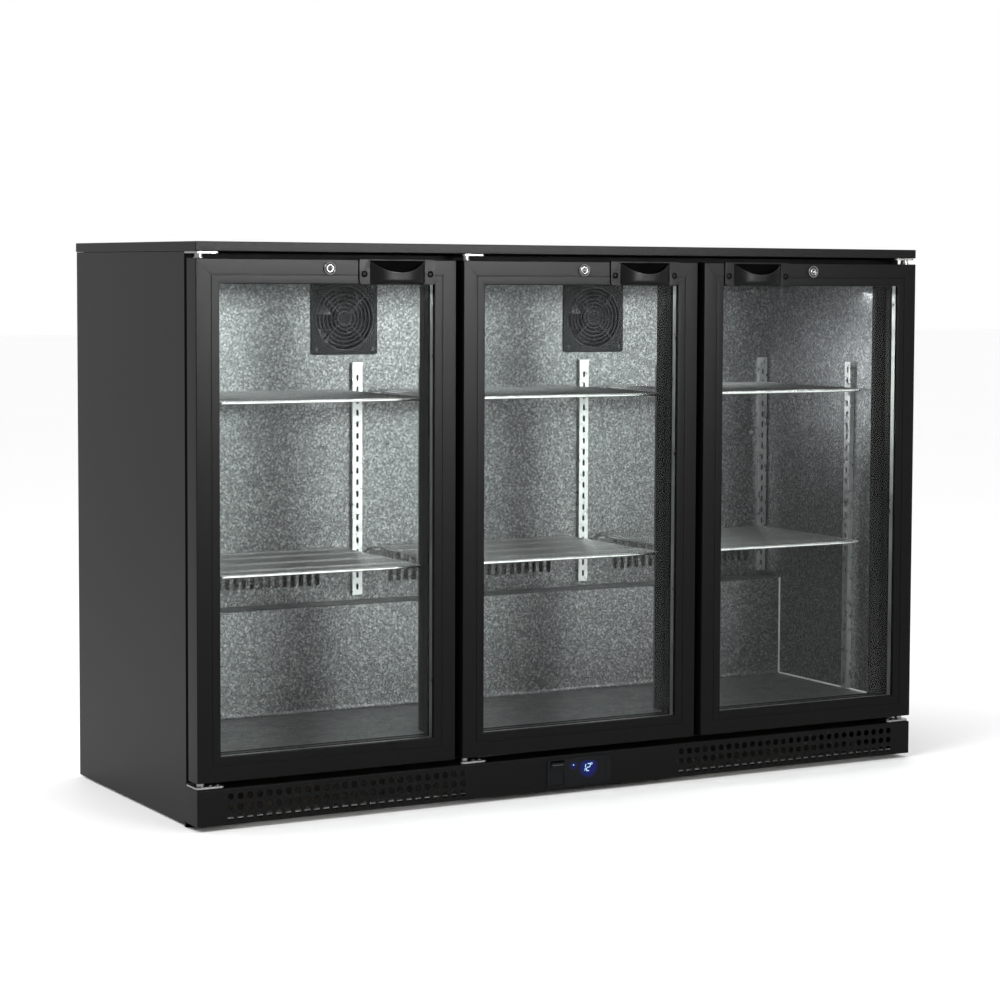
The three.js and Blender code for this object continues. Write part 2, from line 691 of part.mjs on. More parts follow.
// Axial fan about +Z at the origin: a bored hub with pitched blades, its axis then turned by the caller.
function fanRotor(radius, blades) {
  const root = HUB_RADIUS - 2;
  const hub = rodZ(HUB_RADIUS, 0, 0, [0, ROTOR_DEPTH]);
  const bladeShapes = range(blades).map((i) => {
    const blade = new THREE.BoxGeometry(radius - root, 24, 1.6);
    blade.rotateX(THREE.MathUtils.degToRad(30));
    blade.translate((radius + root) / 2, 0, ROTOR_DEPTH / 2);
    return blade.rotateZ((2 * Math.PI * i) / blades);
  });
  const bore = rodZ(SHAFT_RADIUS + 0.7, 0, 0, through([0, ROTOR_DEPTH]));
  return cut(join(hub, ...bladeShapes), bore);
}

function evaporatorFan(x) {
  return fanRotor(FAN_BLADE, 5).rotateX(-Math.PI / 2).translate(x, COVER_FRONT + 8, FAN_Z);
}

// Finned block: a comb of plates on a backing tube sheet.
function comb([x0, x1], [y0, y1], zs, fins) {
  const spine = 6;
  const pitch = (x1 - x0 - 2) / fins;
  const points = [[x0, y1], [x0, y0]];
  for (const i of range(fins)) {
    const fin = x0 + i * pitch;
    points.push([fin + 2, y0], [fin + 2, y1 - spine], [fin + pitch, y1 - spine], [fin + pitch, y0]);
  }
  points.push([x1, y0], [x1, y1]);
  return plateXY(outline(points), zs);
}

function evaporatorCoil() {
  const halfLength = 560;
  return comb([-halfLength, halfLength], [COVER_FRONT + 8, LINER_BACK - 8], [420, 640], 32);
}

function compressor() {
  const z0 = MACHINE_FLOOR;
  const profile = [[0, z0], [52, z0], [60, z0 + 14], [62, 60], [62, 120], [54, 155], [32, 174], [0, 178]];
  const shell = new THREE.LatheGeometry(profile.map(([r, z]) => new THREE.Vector2(r, z)), 20);
  shell.rotateX(Math.PI / 2);
  const rail = block([-95, 95], [-22, 22], [z0, z0 + 5]);
  return join(shell, rail).translate(COMPRESSOR_X, MACHINE_Y, 0);
}

// Finned condenser with the motor can and shaft of its fan; air passes through it along X.
function condenser() {
  const zs = [MACHINE_FLOOR, 2 * CONDENSER_Z - BASE_SHEET[1]];
  const widths = [-CONDENSER_HALF_WIDTH, CONDENSER_HALF_WIDTH];
  const fins = comb(widths, [0, CONDENSER_THICKNESS], zs, 12).rotateZ(Math.PI / 2);
  fins.translate(CONDENSER_THICKNESS, 0, 0);
  const motorEnd = CONDENSER_THICKNESS + ROTOR_DEPTH;
  const motor = rodX(16, [CONDENSER_THICKNESS - 8, motorEnd], 0, CONDENSER_Z);
  const shaft = rodX(SHAFT_RADIUS, [motorEnd - 2, motorEnd + 26], 0, CONDENSER_Z, 12);
  return join(fins, motor, shaft).translate(CONDENSER_X, MACHINE_Y, 0);
}

function condenserFan() {
  const rotor = fanRotor(CONDENSER_FAN.radius, 5).rotateY(Math.PI / 2);
  return rotor.translate(CONDENSER_X + CONDENSER_FAN.offset, MACHINE_Y, CONDENSER_Z);
}

// Flat LED strip under the ceiling, behind the face frame.
function lightBar() {
  const ys = [BODY_FRONT + MULLION_DEPTH + 4, BODY_FRONT + MULLION_DEPTH + 18];
  return block([BAY_LEFT + 20, BAY_RIGHT - 20], ys, [CEILING_Z - 4.3, CEILING_Z - GAP]);
}

// ---------------------------------------------------------------- assembly
add(fridge, 'worktop', worktop(), blackSteel());
add(fridge, 'side_panel_left', sidePanel(-1), blackSteel());
add(fridge, 'side_panel_right', sidePanel(1), blackSteel());
add(fridge, 'back_panel', backPanel(), finish(0x8f9190, 0.45, 0.8));
add(fridge, 'base_pan', basePan(), bareSteel());
add(fridge, 'insulation', insulation(), foam());
add(fridge, 'liner', liner(), linerSheet());
add(fridge, 'face_frame', faceFrame(), blackPlastic());
add(fridge, 'kick_panel', kickPanel(), blackSteel());
add(fridge, 'control_bezel', controlBezel(), glossBlack());
add(fridge, 'display_module', displayModule(), finish(0x0a1440, 0.1, 0));
add(fridge, 'light_switch', rockerSwitch(), glossBlack());
add(fridge, 'light_bar', lightBar(), finish(0xf4f6f4, 0.3, 0));

for (const [i, x] of FEET_X.entries()) {
  for (const [j, y] of FEET_Y.entries()) {
    add(fridge, `foot_${['front', 'rear'][j]}_${['left', 'right'][i]}`, foot(x, y), rubber());
  }
}

DOORS.forEach(buildDoor);

for (const bay of range(BAYS.length)) {
  for (const [level, top] of SHELF_TOPS.entries()) {
    add(fridge, `shelf_${bay + 1}_${['lower', 'upper'][level]}`, shelf(bay, top), wireSteel());
  }
}
add(fridge, 'upright_left', wallUpright(-1), wireSteel());
add(fridge, 'upright_right', wallUpright(1), wireSteel());
MULLION_X.forEach((x, i) => add(fridge, `upright_mullion_${i + 1}`, mullionUpright(x), wireSteel()));

add(fridge, 'evaporator_cover', evaporatorCover(), linerSheet());
add(fridge, 'evaporator_coil', evaporatorCoil(), paleFins());
for (const [i, side] of ['left', 'right'].entries()) {
  add(fridge, `fan_guard_${side}`, fanGuard(FAN_X[i]), blackPlastic());
  add(fridge, `evaporator_fan_${side}`, evaporatorFan(FAN_X[i]), blackPlastic());
}
add(fridge, 'compressor', compressor(), finish(0x17181a, 0.5, 0.5));
add(fridge, 'condenser', condenser(), paleFins());
add(fridge, 'condenser_fan', condenserFan(), blackPlastic());

export default fridge;
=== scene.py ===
import json
import math

import bmesh
import bpy
from mathutils import Matrix, Vector

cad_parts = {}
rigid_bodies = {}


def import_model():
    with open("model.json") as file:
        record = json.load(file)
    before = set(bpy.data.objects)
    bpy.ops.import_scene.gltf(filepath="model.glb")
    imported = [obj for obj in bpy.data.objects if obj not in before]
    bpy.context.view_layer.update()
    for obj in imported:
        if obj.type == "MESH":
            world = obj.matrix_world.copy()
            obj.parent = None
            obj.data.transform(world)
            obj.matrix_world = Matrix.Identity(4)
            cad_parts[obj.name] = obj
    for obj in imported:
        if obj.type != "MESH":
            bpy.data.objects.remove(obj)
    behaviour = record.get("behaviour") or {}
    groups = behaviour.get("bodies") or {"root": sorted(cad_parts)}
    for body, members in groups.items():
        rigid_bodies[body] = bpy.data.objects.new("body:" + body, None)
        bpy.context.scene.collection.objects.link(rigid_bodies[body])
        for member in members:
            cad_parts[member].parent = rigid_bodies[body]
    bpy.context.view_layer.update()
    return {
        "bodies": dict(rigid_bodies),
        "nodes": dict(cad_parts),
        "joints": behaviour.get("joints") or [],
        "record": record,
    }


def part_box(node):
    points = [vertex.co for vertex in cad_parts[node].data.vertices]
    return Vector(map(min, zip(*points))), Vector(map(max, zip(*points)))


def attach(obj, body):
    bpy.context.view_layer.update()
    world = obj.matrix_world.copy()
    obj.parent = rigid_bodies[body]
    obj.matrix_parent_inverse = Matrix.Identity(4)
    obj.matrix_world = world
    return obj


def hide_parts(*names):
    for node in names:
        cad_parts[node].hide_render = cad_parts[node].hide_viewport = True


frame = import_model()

# The looks of a three-door undercounter refrigerator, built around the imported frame.
# Pieces are drawn in millimetres and scaled to metres when they are finished.
MM = 0.001

# ------------------------------------------------------------------ places taken from the frame
def spans(*nodes):
    """The x, y and z spans of one or more CAD nodes, in millimetres."""
    boxes = [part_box(node) for node in nodes]
    return [(min(low[i] for low, _ in boxes) / MM, max(high[i] for _, high in boxes) / MM) for i in range(3)]


(LEFT, RIGHT), (FRONT, BACK), (WORKTOP_BOTTOM, HEIGHT) = spans("worktop")


# ------------------------------------------------------------------ mesh helpers
def from_bmesh(name, bm, material, body, replaces=(), sharp=35):
    """Turns a bmesh in millimetres into a piece that rides on a body."""
    bmesh.ops.recalc_face_normals(bm, faces=bm.faces)
    bmesh.ops.scale(bm, vec=(MM, MM, MM), verts=bm.verts)
    mesh = bpy.data.meshes.new(name)
    bm.to_mesh(mesh)
    bm.free()
    mesh.materials.append(material)
    mesh.shade_smooth()
    mesh.set_sharp_from_angle(angle=math.radians(sharp))
    piece = bpy.data.objects.new(name, mesh)
    bpy.context.scene.collection.objects.link(piece)
    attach(piece, body)
    weighted = piece.modifiers.new("weighted", "WEIGHTED_NORMAL")
    weighted.keep_sharp = True
    if replaces:
        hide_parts(*replaces)


def ordered(a, b):
    """A span from two ends in either order, for pieces drawn once and mirrored."""
    return tuple(sorted((a, b)))


def on_circle(radius, angle):
    return radius * math.cos(angle), radius * math.sin(angle)


def join_rings(bm, first, second):
    """Adds the side faces between two rings of the same length."""
    for i in range(len(first)):
        j = (i + 1) % len(first)
        bm.faces.new((first[i], first[j], second[j], second[i]))


def add_grid(bm, grid):
    """Adds the faces of a grid of vertices, given as a list of rows, and returns them."""
    faces = []
    for row, after in zip(grid, grid[1:]):
        for j in range(len(row) - 1):
            faces.append(bm.faces.new((row[j], after[j], after[j + 1], row[j + 1])))
    return faces


def add_box(bm, xs, ys, zs, bevel=0.0, segments=2):
    """Adds a box with rounded edges."""
    size = (xs[1] - xs[0], ys[1] - ys[0], zs[1] - zs[0])
    centre = Vector((sum(xs), sum(ys), sum(zs))) / 2
    made = bmesh.ops.create_cube(bm, size=1, matrix=Matrix.Translation(centre) @ Matrix.Diagonal((*size, 1)))
    if bevel:
        edges = {e for v in made["verts"] for e in v.link_edges}
        bmesh.ops.bevel(bm, geom=list(edges), offset=bevel, segments=segments, profile=0.5,
                        affect="EDGES", clamp_overlap=True)


AXES = {"x": Matrix(((0, 0, 1), (1, 0, 0), (0, 1, 0))).to_4x4(),
        "y": Matrix(((0, -1, 0), (0, 0, 1), (-1, 0, 0))).to_4x4(),
        "z": Matrix.Identity(4)}


def add_lathe(bm, profile, centre, axis="z", sides=32):
    """Adds a turned shape. The profile is (radius, distance along the axis), from axis to axis."""
    rings = []
    turn = Matrix.Translation(centre) @ AXES[axis]
    for radius, along in profile:
        if radius < 1e-7:
            rings.append([bm.verts.new(turn @ Vector((0, 0, along)))])
            continue
        ring = []
        for i in range(sides):
            ring.append(bm.verts.new(turn @ Vector((*on_circle(radius, 2 * math.pi * i / sides), along))))
        rings.append(ring)
    for low, high in zip(rings, rings[1:]):
        for i in range(sides):
            j = (i + 1) % sides
            corners = [low[i % len(low)], low[j % len(low)], high[j % len(high)], high[i % len(high)]]
            bm.faces.new(list(dict.fromkeys(corners)))


def add_tube(bm, points, radius, sides=8):
    """Adds a round wire along a list of points, with flat ends."""
    points = [Vector(p) for p in points]
    rings = []
    for i, point in enumerate(points):
        before = points[max(i - 1, 0)]
        after = points[min(i + 1, len(points) - 1)]
        turn = (after - before).to_track_quat("Z", "Y").to_matrix()
        ring = []
        for k in range(sides):
            corner = Vector((*on_circle(radius, 2 * math.pi * (k + 0.5) / sides), 0))
            ring.append(bm.verts.new(point + turn @ corner))
        rings.append(ring)
    for ring, after in zip(rings, rings[1:]):
        join_rings(bm, ring, after)
    bm.faces.new(rings[0])
    bm.faces.new(rings[-1])


def rectangle_loop(a, b, radius=0.0, steps=6):
    """Points of a rectangle with round corners."""
    (a0, a1), (b0, b1) = a, b
    if not radius:
        return [(a0, b0), (a1, b0), (a1, b1), (a0, b1)]
    corners = [(a1 - radius, b0 + radius, -90), (a1 - radius, b1 - radius, 0),
               (a0 + radius, b1 - radius, 90), (a0 + radius, b0 + radius, 180)]
    loop = []
    for ca, cb, start in corners:
        loop += quarter_turn(ca, cb, radius, start, steps)
    return loop


def quarter_turn(a, b, radius, start, steps):
    """Points of a quarter of a circle, from a start angle in degrees."""
    corner = [on_circle(radius, math.radians(start + 90 * i / steps)) for i in range(steps + 1)]
    return [(a + across, b + up) for across, up in corner]


def circle_loop(a, b, radius, sides):
    turns = [on_circle(radius, 2 * math.pi * i / sides) for i in range(sides)]
    return [(a + across, b + up) for across, up in turns]


PLANES = {  # local a, b, depth to x, y, z; depth runs towards +Y, +Z or +X
    "xz": lambda a, b, d: (a, d, b),
    "xy": lambda a, b, d: (a, b, d),
    "yz": lambda a, b, d: (d, a, b),
}


def add_sheet(bm, loops, depth, plane, edge=0.0):
    """Adds a flat sheet: the first loop is its outline, the rest are holes, and edge rounds the rims."""
    curve = bpy.data.curves.new("sheet", "CURVE")
    curve.dimensions = "2D"
    curve.fill_mode = "BOTH"
    curve.extrude = (depth[1] - depth[0]) / 2 - edge
    curve.bevel_depth = edge
    curve.bevel_resolution = 1
    for loop in loops:
        spline = curve.splines.new("POLY")
        spline.points.add(len(loop) - 1)
        for point, (a, b) in zip(spline.points, loop):
            point.co = (a, b, 0, 1)
        spline.use_cyclic_u = True
    carrier = bpy.data.objects.new("sheet", curve)
    mesh = bpy.data.meshes.new_from_object(carrier)
    middle = (depth[0] + depth[1]) / 2
    place = PLANES[plane]
    for vertex in mesh.vertices:
        a, b, d = vertex.co
        vertex.co = place(a, b, d + middle)
    flat = bmesh.new()
    flat.from_mesh(mesh)
    bmesh.ops.remove_doubles(flat, verts=flat.verts, dist=0.002)
    flat.to_mesh(mesh)
    flat.free()
    bm.from_mesh(mesh)
    bpy.data.objects.remove(carrier)
    bpy.data.curves.remove(curve)
    bpy.data.meshes.remove(mesh)


def add_rail_ring(bm, xs, zs, y0, profile, seam=0.0):
    """Adds four mitred rails round a rectangle. The profile is (inset from the edge, depth) points."""
    left, right, low, high = (xs[0], 1), (xs[1], -1), (zs[0], 1), (zs[1], -1)
    corners = [(left, low), (right, low), (right, high), (left, high)]
    for i in range(4):
        ends = []
        for k, toward in ((i, 1), ((i + 1) % 4, -1)):
            (x, sx), (z, sz) = corners[k]
            shift = seam * toward
            along_x = shift if i == 0 else -shift if i == 2 else 0
            along_z = shift if i == 1 else -shift if i == 3 else 0
            start_x, start_z = x + along_x, z + along_z
            ends.append([bm.verts.new((start_x + sx * u, y0 + d, start_z + sz * u)) for u, d in profile])
        join_rings(bm, *ends)
        for end in ends:
            bm.faces.new(end)


def cut_away(bm, cutters):
    """Subtracts one bmesh from another with a boolean, and returns the result."""
    objects = []
    for source in (bm, cutters):
        bmesh.ops.recalc_face_normals(source, faces=source.faces)
        mesh = bpy.data.meshes.new("cut")
        source.to_mesh(mesh)
        source.free()
        carrier = bpy.data.objects.new("cut", mesh)
        bpy.context.scene.collection.objects.link(carrier)
        objects.append(carrier)
    solid, tool = objects
    modifier = solid.modifiers.new("cut", "BOOLEAN")
    modifier.operation = "DIFFERENCE"
    modifier.solver = "MANIFOLD"
    modifier.object = tool
    bpy.context.view_layer.update()
    result = bmesh.new()
    result.from_object(solid, bpy.context.evaluated_depsgraph_get())
    for carrier in objects:
        mesh = carrier.data
        bpy.data.objects.remove(carrier)
        bpy.data.meshes.remove(mesh)
    return result


def soften(bm, width, segments=2, angle=40):
    """Rounds every edge sharper than an angle."""
    bmesh.ops.recalc_face_normals(bm, faces=bm.faces)
    edges = [e for e in bm.edges if len(e.link_faces) == 2 and e.calc_face_angle(0) > math.radians(angle)]
    bmesh.ops.bevel(bm, geom=edges, offset=width, segments=segments, profile=0.5,
                    affect="EDGES", clamp_overlap=True)


# ------------------------------------------------------------------ materials
COAT_SHINE = 0.06
PLASTIC_SHINE = 0.09


class Nodes:
    """A short way to build a material's nodes, in object coordinates in metres."""

    def __init__(self, name):
        self.material = bpy.data.materials.new(name)
        self.material.use_nodes = True
        self.tree = self.material.node_tree
        self.shader = self.tree.nodes["Principled BSDF"]
        self.place = self.tree.nodes.new("ShaderNodeTexCoord").outputs["Object"]

    def fill(self, node, inputs):
        """Sets a node's inputs. Each one is a plain value or another node's output."""
        for name, value in inputs.items():
            socket = node.inputs[name.replace("_", " ")]
            if isinstance(value, bpy.types.NodeSocket):
                self.tree.links.new(value, socket)
            else:
                socket.default_value = value

    def set(self, **inputs):
        self.fill(self.shader, inputs)

    def node(self, kind, **inputs):
        node = self.tree.nodes.new("ShaderNode" + kind)
        self.fill(node, inputs)
        return node

    def stretched(self, scale):
        return self.node("Mapping", Vector=self.place, Scale=scale).outputs["Vector"]

    def noise(self, scale, detail=2.0, roughness=0.5, vector=None):
        place = vector or self.place
        node = self.node("TexNoise", Vector=place, Scale=scale, Detail=detail, Roughness=roughness)
        return node.outputs["Fac"]

    def cells(self, scale, feature="F1", output="Distance"):
        node = self.node("TexVoronoi", Vector=self.place, Scale=scale)
        node.feature = feature
        return node.outputs[output]

    def remap(self, value, low, high, start=0.3, end=0.7):
        node = self.node("MapRange", Value=value, From_Min=start, From_Max=end, To_Min=low, To_Max=high)
        return node.outputs["Result"]

    def ramp(self, value, stops):
        node = self.node("ValToRGB", Fac=value)
        elements = node.color_ramp.elements
        while len(elements) < len(stops):
            elements.new(0.5)
        for element, (position, colour) in zip(elements, stops):
            element.position = position
            element.color = (*colour, 1)
        return node.outputs["Color"]

    def mix(self, kind, a, b):
        node = self.node("MixRGB", Fac=1.0, Color1=a, Color2=b)
        node.blend_type = kind
        return node.outputs["Color"]

    def bump(self, height, strength, distance, **under):
        node = self.node("Bump", Height=height, Strength=strength, Distance=distance, **under)
        return node.outputs["Normal"]


def powder_coat(name, dark, light, rough, peel):
    """Satin coating: slow tone changes, fine speckle and an orange-peel surface."""
    n = Nodes(name)
    slow = n.noise(3.0, 3)
    speckle = n.noise(1400, 1)
    grains = n.ramp(speckle, [(0.3, (0.36,) * 3), (0.7, (0.66,) * 3)])
    n.set(Base_Color=n.mix("OVERLAY", n.ramp(slow, [(0.2, dark), (0.8, light)]), grains))
    n.set(Roughness=n.remap(n.noise(900, 2), rough - 0.03, rough + 0.03))
    n.set(Normal=n.bump(n.noise(620, 2, 0.6), peel, 0.0003))
    n.set(Metallic=0.0, Specular_IOR_Level=COAT_SHINE)
    return n.material


def stucco_aluminium(name):
    """Embossed sheet: pebbles about 3 mm apart that catch the light, over grey aluminium."""
    n = Nodes(name)
    pebbles = n.cells(340, "SMOOTH_F1")
    facets = n.cells(340, "F1", "Color")
    ridges = n.noise(700, 2, 0.6)
    tone = n.ramp(facets, [(0.15, (0.09, 0.092, 0.095)), (0.6, (0.165, 0.168, 0.172)),
                           (0.95, (0.33, 0.333, 0.337))])
    n.set(Base_Color=n.mix("MULTIPLY", tone, n.ramp(ridges, [(0.3, (0.80,) * 3), (0.7, (1.0,) * 3)])))
    n.set(Roughness=n.remap(n.noise(40, 3), 0.30, 0.42))
    n.set(Normal=n.bump(pebbles, 0.6, 0.0009, Normal=n.bump(ridges, 0.3, 0.0004)))
    n.set(Metallic=1.0)
    return n.material


def galvanised(name, dark=0.36, light=0.62):
    """Zinc-coated sheet with its spangle."""
    n = Nodes(name)
    spangle = n.cells(95, "F1", "Color")
    grain = n.noise(500, 3)
    tone = n.ramp(spangle, [(0.1, (dark, dark, dark * 1.02)), (0.9, (light, light, light * 1.02))])
    n.set(Base_Color=n.mix("MULTIPLY", tone, n.ramp(grain, [(0.2, (0.88,) * 3), (0.8, (1.0,) * 3)])))
    n.set(Roughness=n.remap(spangle, 0.28, 0.46, 0.0, 1.0))
    n.set(Normal=n.bump(grain, 0.08, 0.0002))
    n.set(Metallic=1.0)
    return n.material


def bright_metal(name, tone, rough, streak=(60, 60, 60)):
    """Plated or polished metal with faint cloudiness and drawing marks."""
    n = Nodes(name)
    cloud = n.noise(70, 3)
    marks = n.noise(8, 4, 0.7, n.stretched(streak))
    n.set(Base_Color=n.ramp(cloud, [(0.3, tuple(0.86 * c for c in tone)), (0.7, tone)]))
    n.set(Roughness=n.remap(cloud, rough * 0.75, rough * 1.35))
    n.set(Normal=n.bump(marks, 0.10, 0.00012))
    n.set(Metallic=1.0)
    return n.material


def plastic(name, dark, light, rough, grain, grain_size=1500, shine=PLASTIC_SHINE):
    """Moulded plastic or rubber with a fine spark-eroded grain."""
    n = Nodes(name)
    n.set(Base_Color=n.ramp(n.noise(25, 3), [(0.3, dark), (0.7, light)]))
    n.set(Roughness=n.remap(n.noise(60, 4), rough - 0.05, rough + 0.06))
    n.set(Normal=n.bump(n.noise(grain_size, 2), grain, 0.00015))
    n.set(Specular_IOR_Level=shine)
    return n.material


def clear_glass(name):
    """Coated, low-reflection glass with a faint green body. It lets lamps shine through."""
    n = Nodes(name)
    n.set(Base_Color=n.ramp(n.noise(4, 2), [(0.3, (0.965, 0.985, 0.975)), (0.7, (0.985, 0.995, 0.99))]))
    n.set(IOR=1.15, Metallic=0.0, Roughness=0.0, Transmission_Weight=1.0)
    clear = n.node("BsdfTransparent", Color=(0.90, 0.92, 0.91, 1))
    shadow = n.node("LightPath").outputs["Is Shadow Ray"]
    mix = n.node("MixShader")
    for source, socket in zip((shadow, n.shader.outputs[0], clear.outputs[0]), mix.inputs):
        n.tree.links.new(source, socket)
    n.fill(n.tree.nodes["Material Output"], {"Surface": mix.outputs[0]})
    return n.material


def glowing(name, base, light, strength):
    """Lit plastic: an LED lens or a display segment, slightly uneven."""
    n = Nodes(name)
    n.set(Base_Color=n.ramp(n.noise(120, 2), [(0.3, tuple(0.8 * c for c in base)), (0.7, base)]))
    lit = n.ramp(n.noise(300, 2), [(0.3, tuple(0.85 * c for c in light)), (0.7, light)])
    n.set(Emission_Color=lit, Emission_Strength=strength, Roughness=0.3)
    return n.material


def backlit_window(name, spots):
    """Gloss black window with soft round glows. A spot is (x, z, radius, strength), in millimetres."""
    n = Nodes(name)
    n.set(Base_Color=n.ramp(n.noise(25, 3), [(0.3, (0.004, 0.0045, 0.005)), (0.7, (0.006, 0.0065, 0.007))]))
    glows = []
    for x, z, radius, strength in spots:
        flat = n.node("Mapping", Vector=n.place, Location=(-x * MM, 0, -z * MM), Scale=(1, 0, 1))
        length = n.node("VectorMath", Vector=flat.outputs["Vector"])
        length.operation = "LENGTH"
        glows.append(n.remap(length.outputs["Value"], strength, 0.0, 0.6 * radius * MM, radius * MM))
    total = glows[0]
    for glow in glows[1:]:
        both = n.node("Math")
        for source, socket in zip((total, glow), both.inputs):
            n.tree.links.new(source, socket)
        total = both.outputs["Value"]
    n.set(Emission_Color=(0.012, 0.03, 1.0, 1), Emission_Strength=total)
    n.set(Roughness=0.09, Specular_IOR_Level=PLASTIC_SHINE)
    return n.material


def foam_block(name):
    """Poured foam, pale yellow and full of bubbles."""
    n = Nodes(name)
    bubbles = n.cells(900)
    n.set(Base_Color=n.ramp(n.noise(30, 3), [(0.3, (0.62, 0.52, 0.27)), (0.7, (0.74, 0.64, 0.36))]))
    n.set(Roughness=n.remap(bubbles, 0.8, 0.95, 0, 1))
    n.set(Normal=n.bump(bubbles, 0.5, 0.0006))
    return n.material


M_CABINET = powder_coat("cabinet_black", (0.0048, 0.0049, 0.0047), (0.0060, 0.0061, 0.0058), 0.36, 0.20)
M_KICK = powder_coat("kick_black", (0.0040, 0.0041, 0.0040), (0.0050, 0.0051, 0.0049), 0.36, 0.14)
M_DOOR = powder_coat("door_frame_black", (0.0034, 0.0035, 0.0034), (0.0044, 0.0045, 0.0043), 0.33, 0.10)
M_LINER = stucco_aluminium("liner_aluminium")
M_GALV = galvanised("galvanised")
M_HINGE = bright_metal("hinge_zinc", (0.27, 0.27, 0.268), 0.34)
M_WIRE = bright_metal("shelf_wire", (0.86, 0.86, 0.85), 0.18)
M_UPRIGHT = bright_metal("upright_zinc", (0.62, 0.63, 0.63), 0.30, (300, 300, 10))
M_CHROME = bright_metal("lock_chrome", (0.20,) * 3, 0.17)
M_SPACER = bright_metal("spacer_aluminium", (0.42, 0.42, 0.415), 0.36, (900,) * 3)
M_HANDLE = plastic("handle_black", (0.0034,) * 3, (0.0048, 0.0048, 0.0047), 0.33, 0.08,
                   shine=0.062)
M_PLASTIC = plastic("black_plastic", (0.011, 0.011, 0.0115), (0.017, 0.017, 0.0172), 0.44, 0.10)
M_GASKET = plastic("gasket", (0.005,) * 3, (0.008,) * 3, 0.66, 0.16, 2200, shine=0.05)
M_RUBBER = plastic("rubber_foot", (0.010,) * 3, (0.016,) * 3, 0.72, 0.22, 900)
M_GLOSS = plastic("control_black", (0.004, 0.0045, 0.005), (0.006, 0.0065, 0.007), 0.09, 0.01)
M_ROCKER_BAR = plastic("switch_top_bar", (0.055,) * 3, (0.075,) * 3, 0.5, 0.05)
M_SCREW = bright_metal("screw_black", (0.010,) * 3, 0.34)
# Painted highlight: a lighter, shinier plastic for the tube along the finger cup's top edge, standing in for
# the bright line where the rim catches light.
M_EDGE_HIGHLIGHT = plastic("handle_edge_highlight", (0.010,) * 3, (0.014,) * 3, 0.22, 0.02, shine=0.35)
# Painted shade: a dead-black plastic that reflects nothing, for sheets and discs set where there is only
# shade: the handle's outline and finger pocket, the screw wells and the key way.
M_SHADOW = plastic("painted_shade_black", (0.0012,) * 3, (0.002,) * 3, 0.8, 0.05, shine=0.0)
M_FAN = plastic("fan_black", (0.008, 0.009, 0.010), (0.013, 0.014, 0.015), 0.5, 0.08)
M_COMPRESSOR = powder_coat("compressor_black", (0.012, 0.012, 0.013), (0.02, 0.02, 0.021), 0.30, 0.10)
M_FINS = bright_metal("fins", (0.66, 0.68, 0.70), 0.42, (20, 600, 20))
M_FOAM = foam_block("foam")
M_GLASS = clear_glass("glass")
M_FACE = plastic("face_frame_black", (0.005, 0.005, 0.0053), (0.008, 0.008, 0.0083), 0.62, 0.08, shine=0.03)
M_GUARD = bright_metal("guard_wire", (0.055, 0.058, 0.064), 0.38)
M_UPRIGHT_DARK = bright_metal("upright_dark", (0.16, 0.165, 0.17), 0.38, (300, 300, 10))
M_COPPER = bright_metal("copper_tube", (0.78, 0.42, 0.28), 0.30)
M_SEALANT = plastic("sealant_white", (0.62, 0.62, 0.60), (0.70, 0.70, 0.68), 0.45, 0.05)
M_LINER_PLAIN = bright_metal("plain_aluminium", (0.74, 0.75, 0.75), 0.33, (10, 400, 400))
M_LED = glowing("led", (0.9, 0.92, 0.95), (0.93, 0.97, 1.0), 6.0)
M_DIGIT = glowing("display_digit", (0.3, 0.5, 0.7), (0.42, 0.66, 0.82), 1.0)
M_DISPLAY = backlit_window("display", [(13.5, 41.5, 19, 0.11), (-15, 47, 9, 0.06)])


# ------------------------------------------------------------------ casing
def casing():
    """Worktop, side panels and the packing strips that seat the worktop on the body."""
    bm = bmesh.new()
    add_box(bm, *spans("worktop"), bevel=1.3, segments=3)
    from_bmesh("worktop_sheet", bm, M_CABINET, "cabinet", ["worktop"])
    for side in ("left", "right"):
        node = "side_panel_" + side
        bm = bmesh.new()
        add_box(bm, *spans(node), bevel=0.6)
        from_bmesh(node + "_sheet", bm, M_CABINET, "cabinet", [node])
    (_, left_inner), _, _ = spans("side_panel_left")
    (right_inner, _), _, _ = spans("side_panel_right")
    _, _, (_, body_top) = spans("insulation", "face_frame")
    xs = (left_inner + 0.2, right_inner - 0.2)
    bm = bmesh.new()
    for y in (FRONT + 105, BACK - 40):
        add_box(bm, xs, (y, y + 10), (body_top + 0.1, WORKTOP_BOTTOM - 0.1), bevel=0.4)
    from_bmesh("worktop_packing", bm, M_GASKET, "cabinet")


KICK_ROWS = (18.9, 35.1, 51.3)
KICK_PITCH = 16.05
KICK_HOLE = 5.2
BEZEL_BODY = ((-60, 51.5), (14, 58))


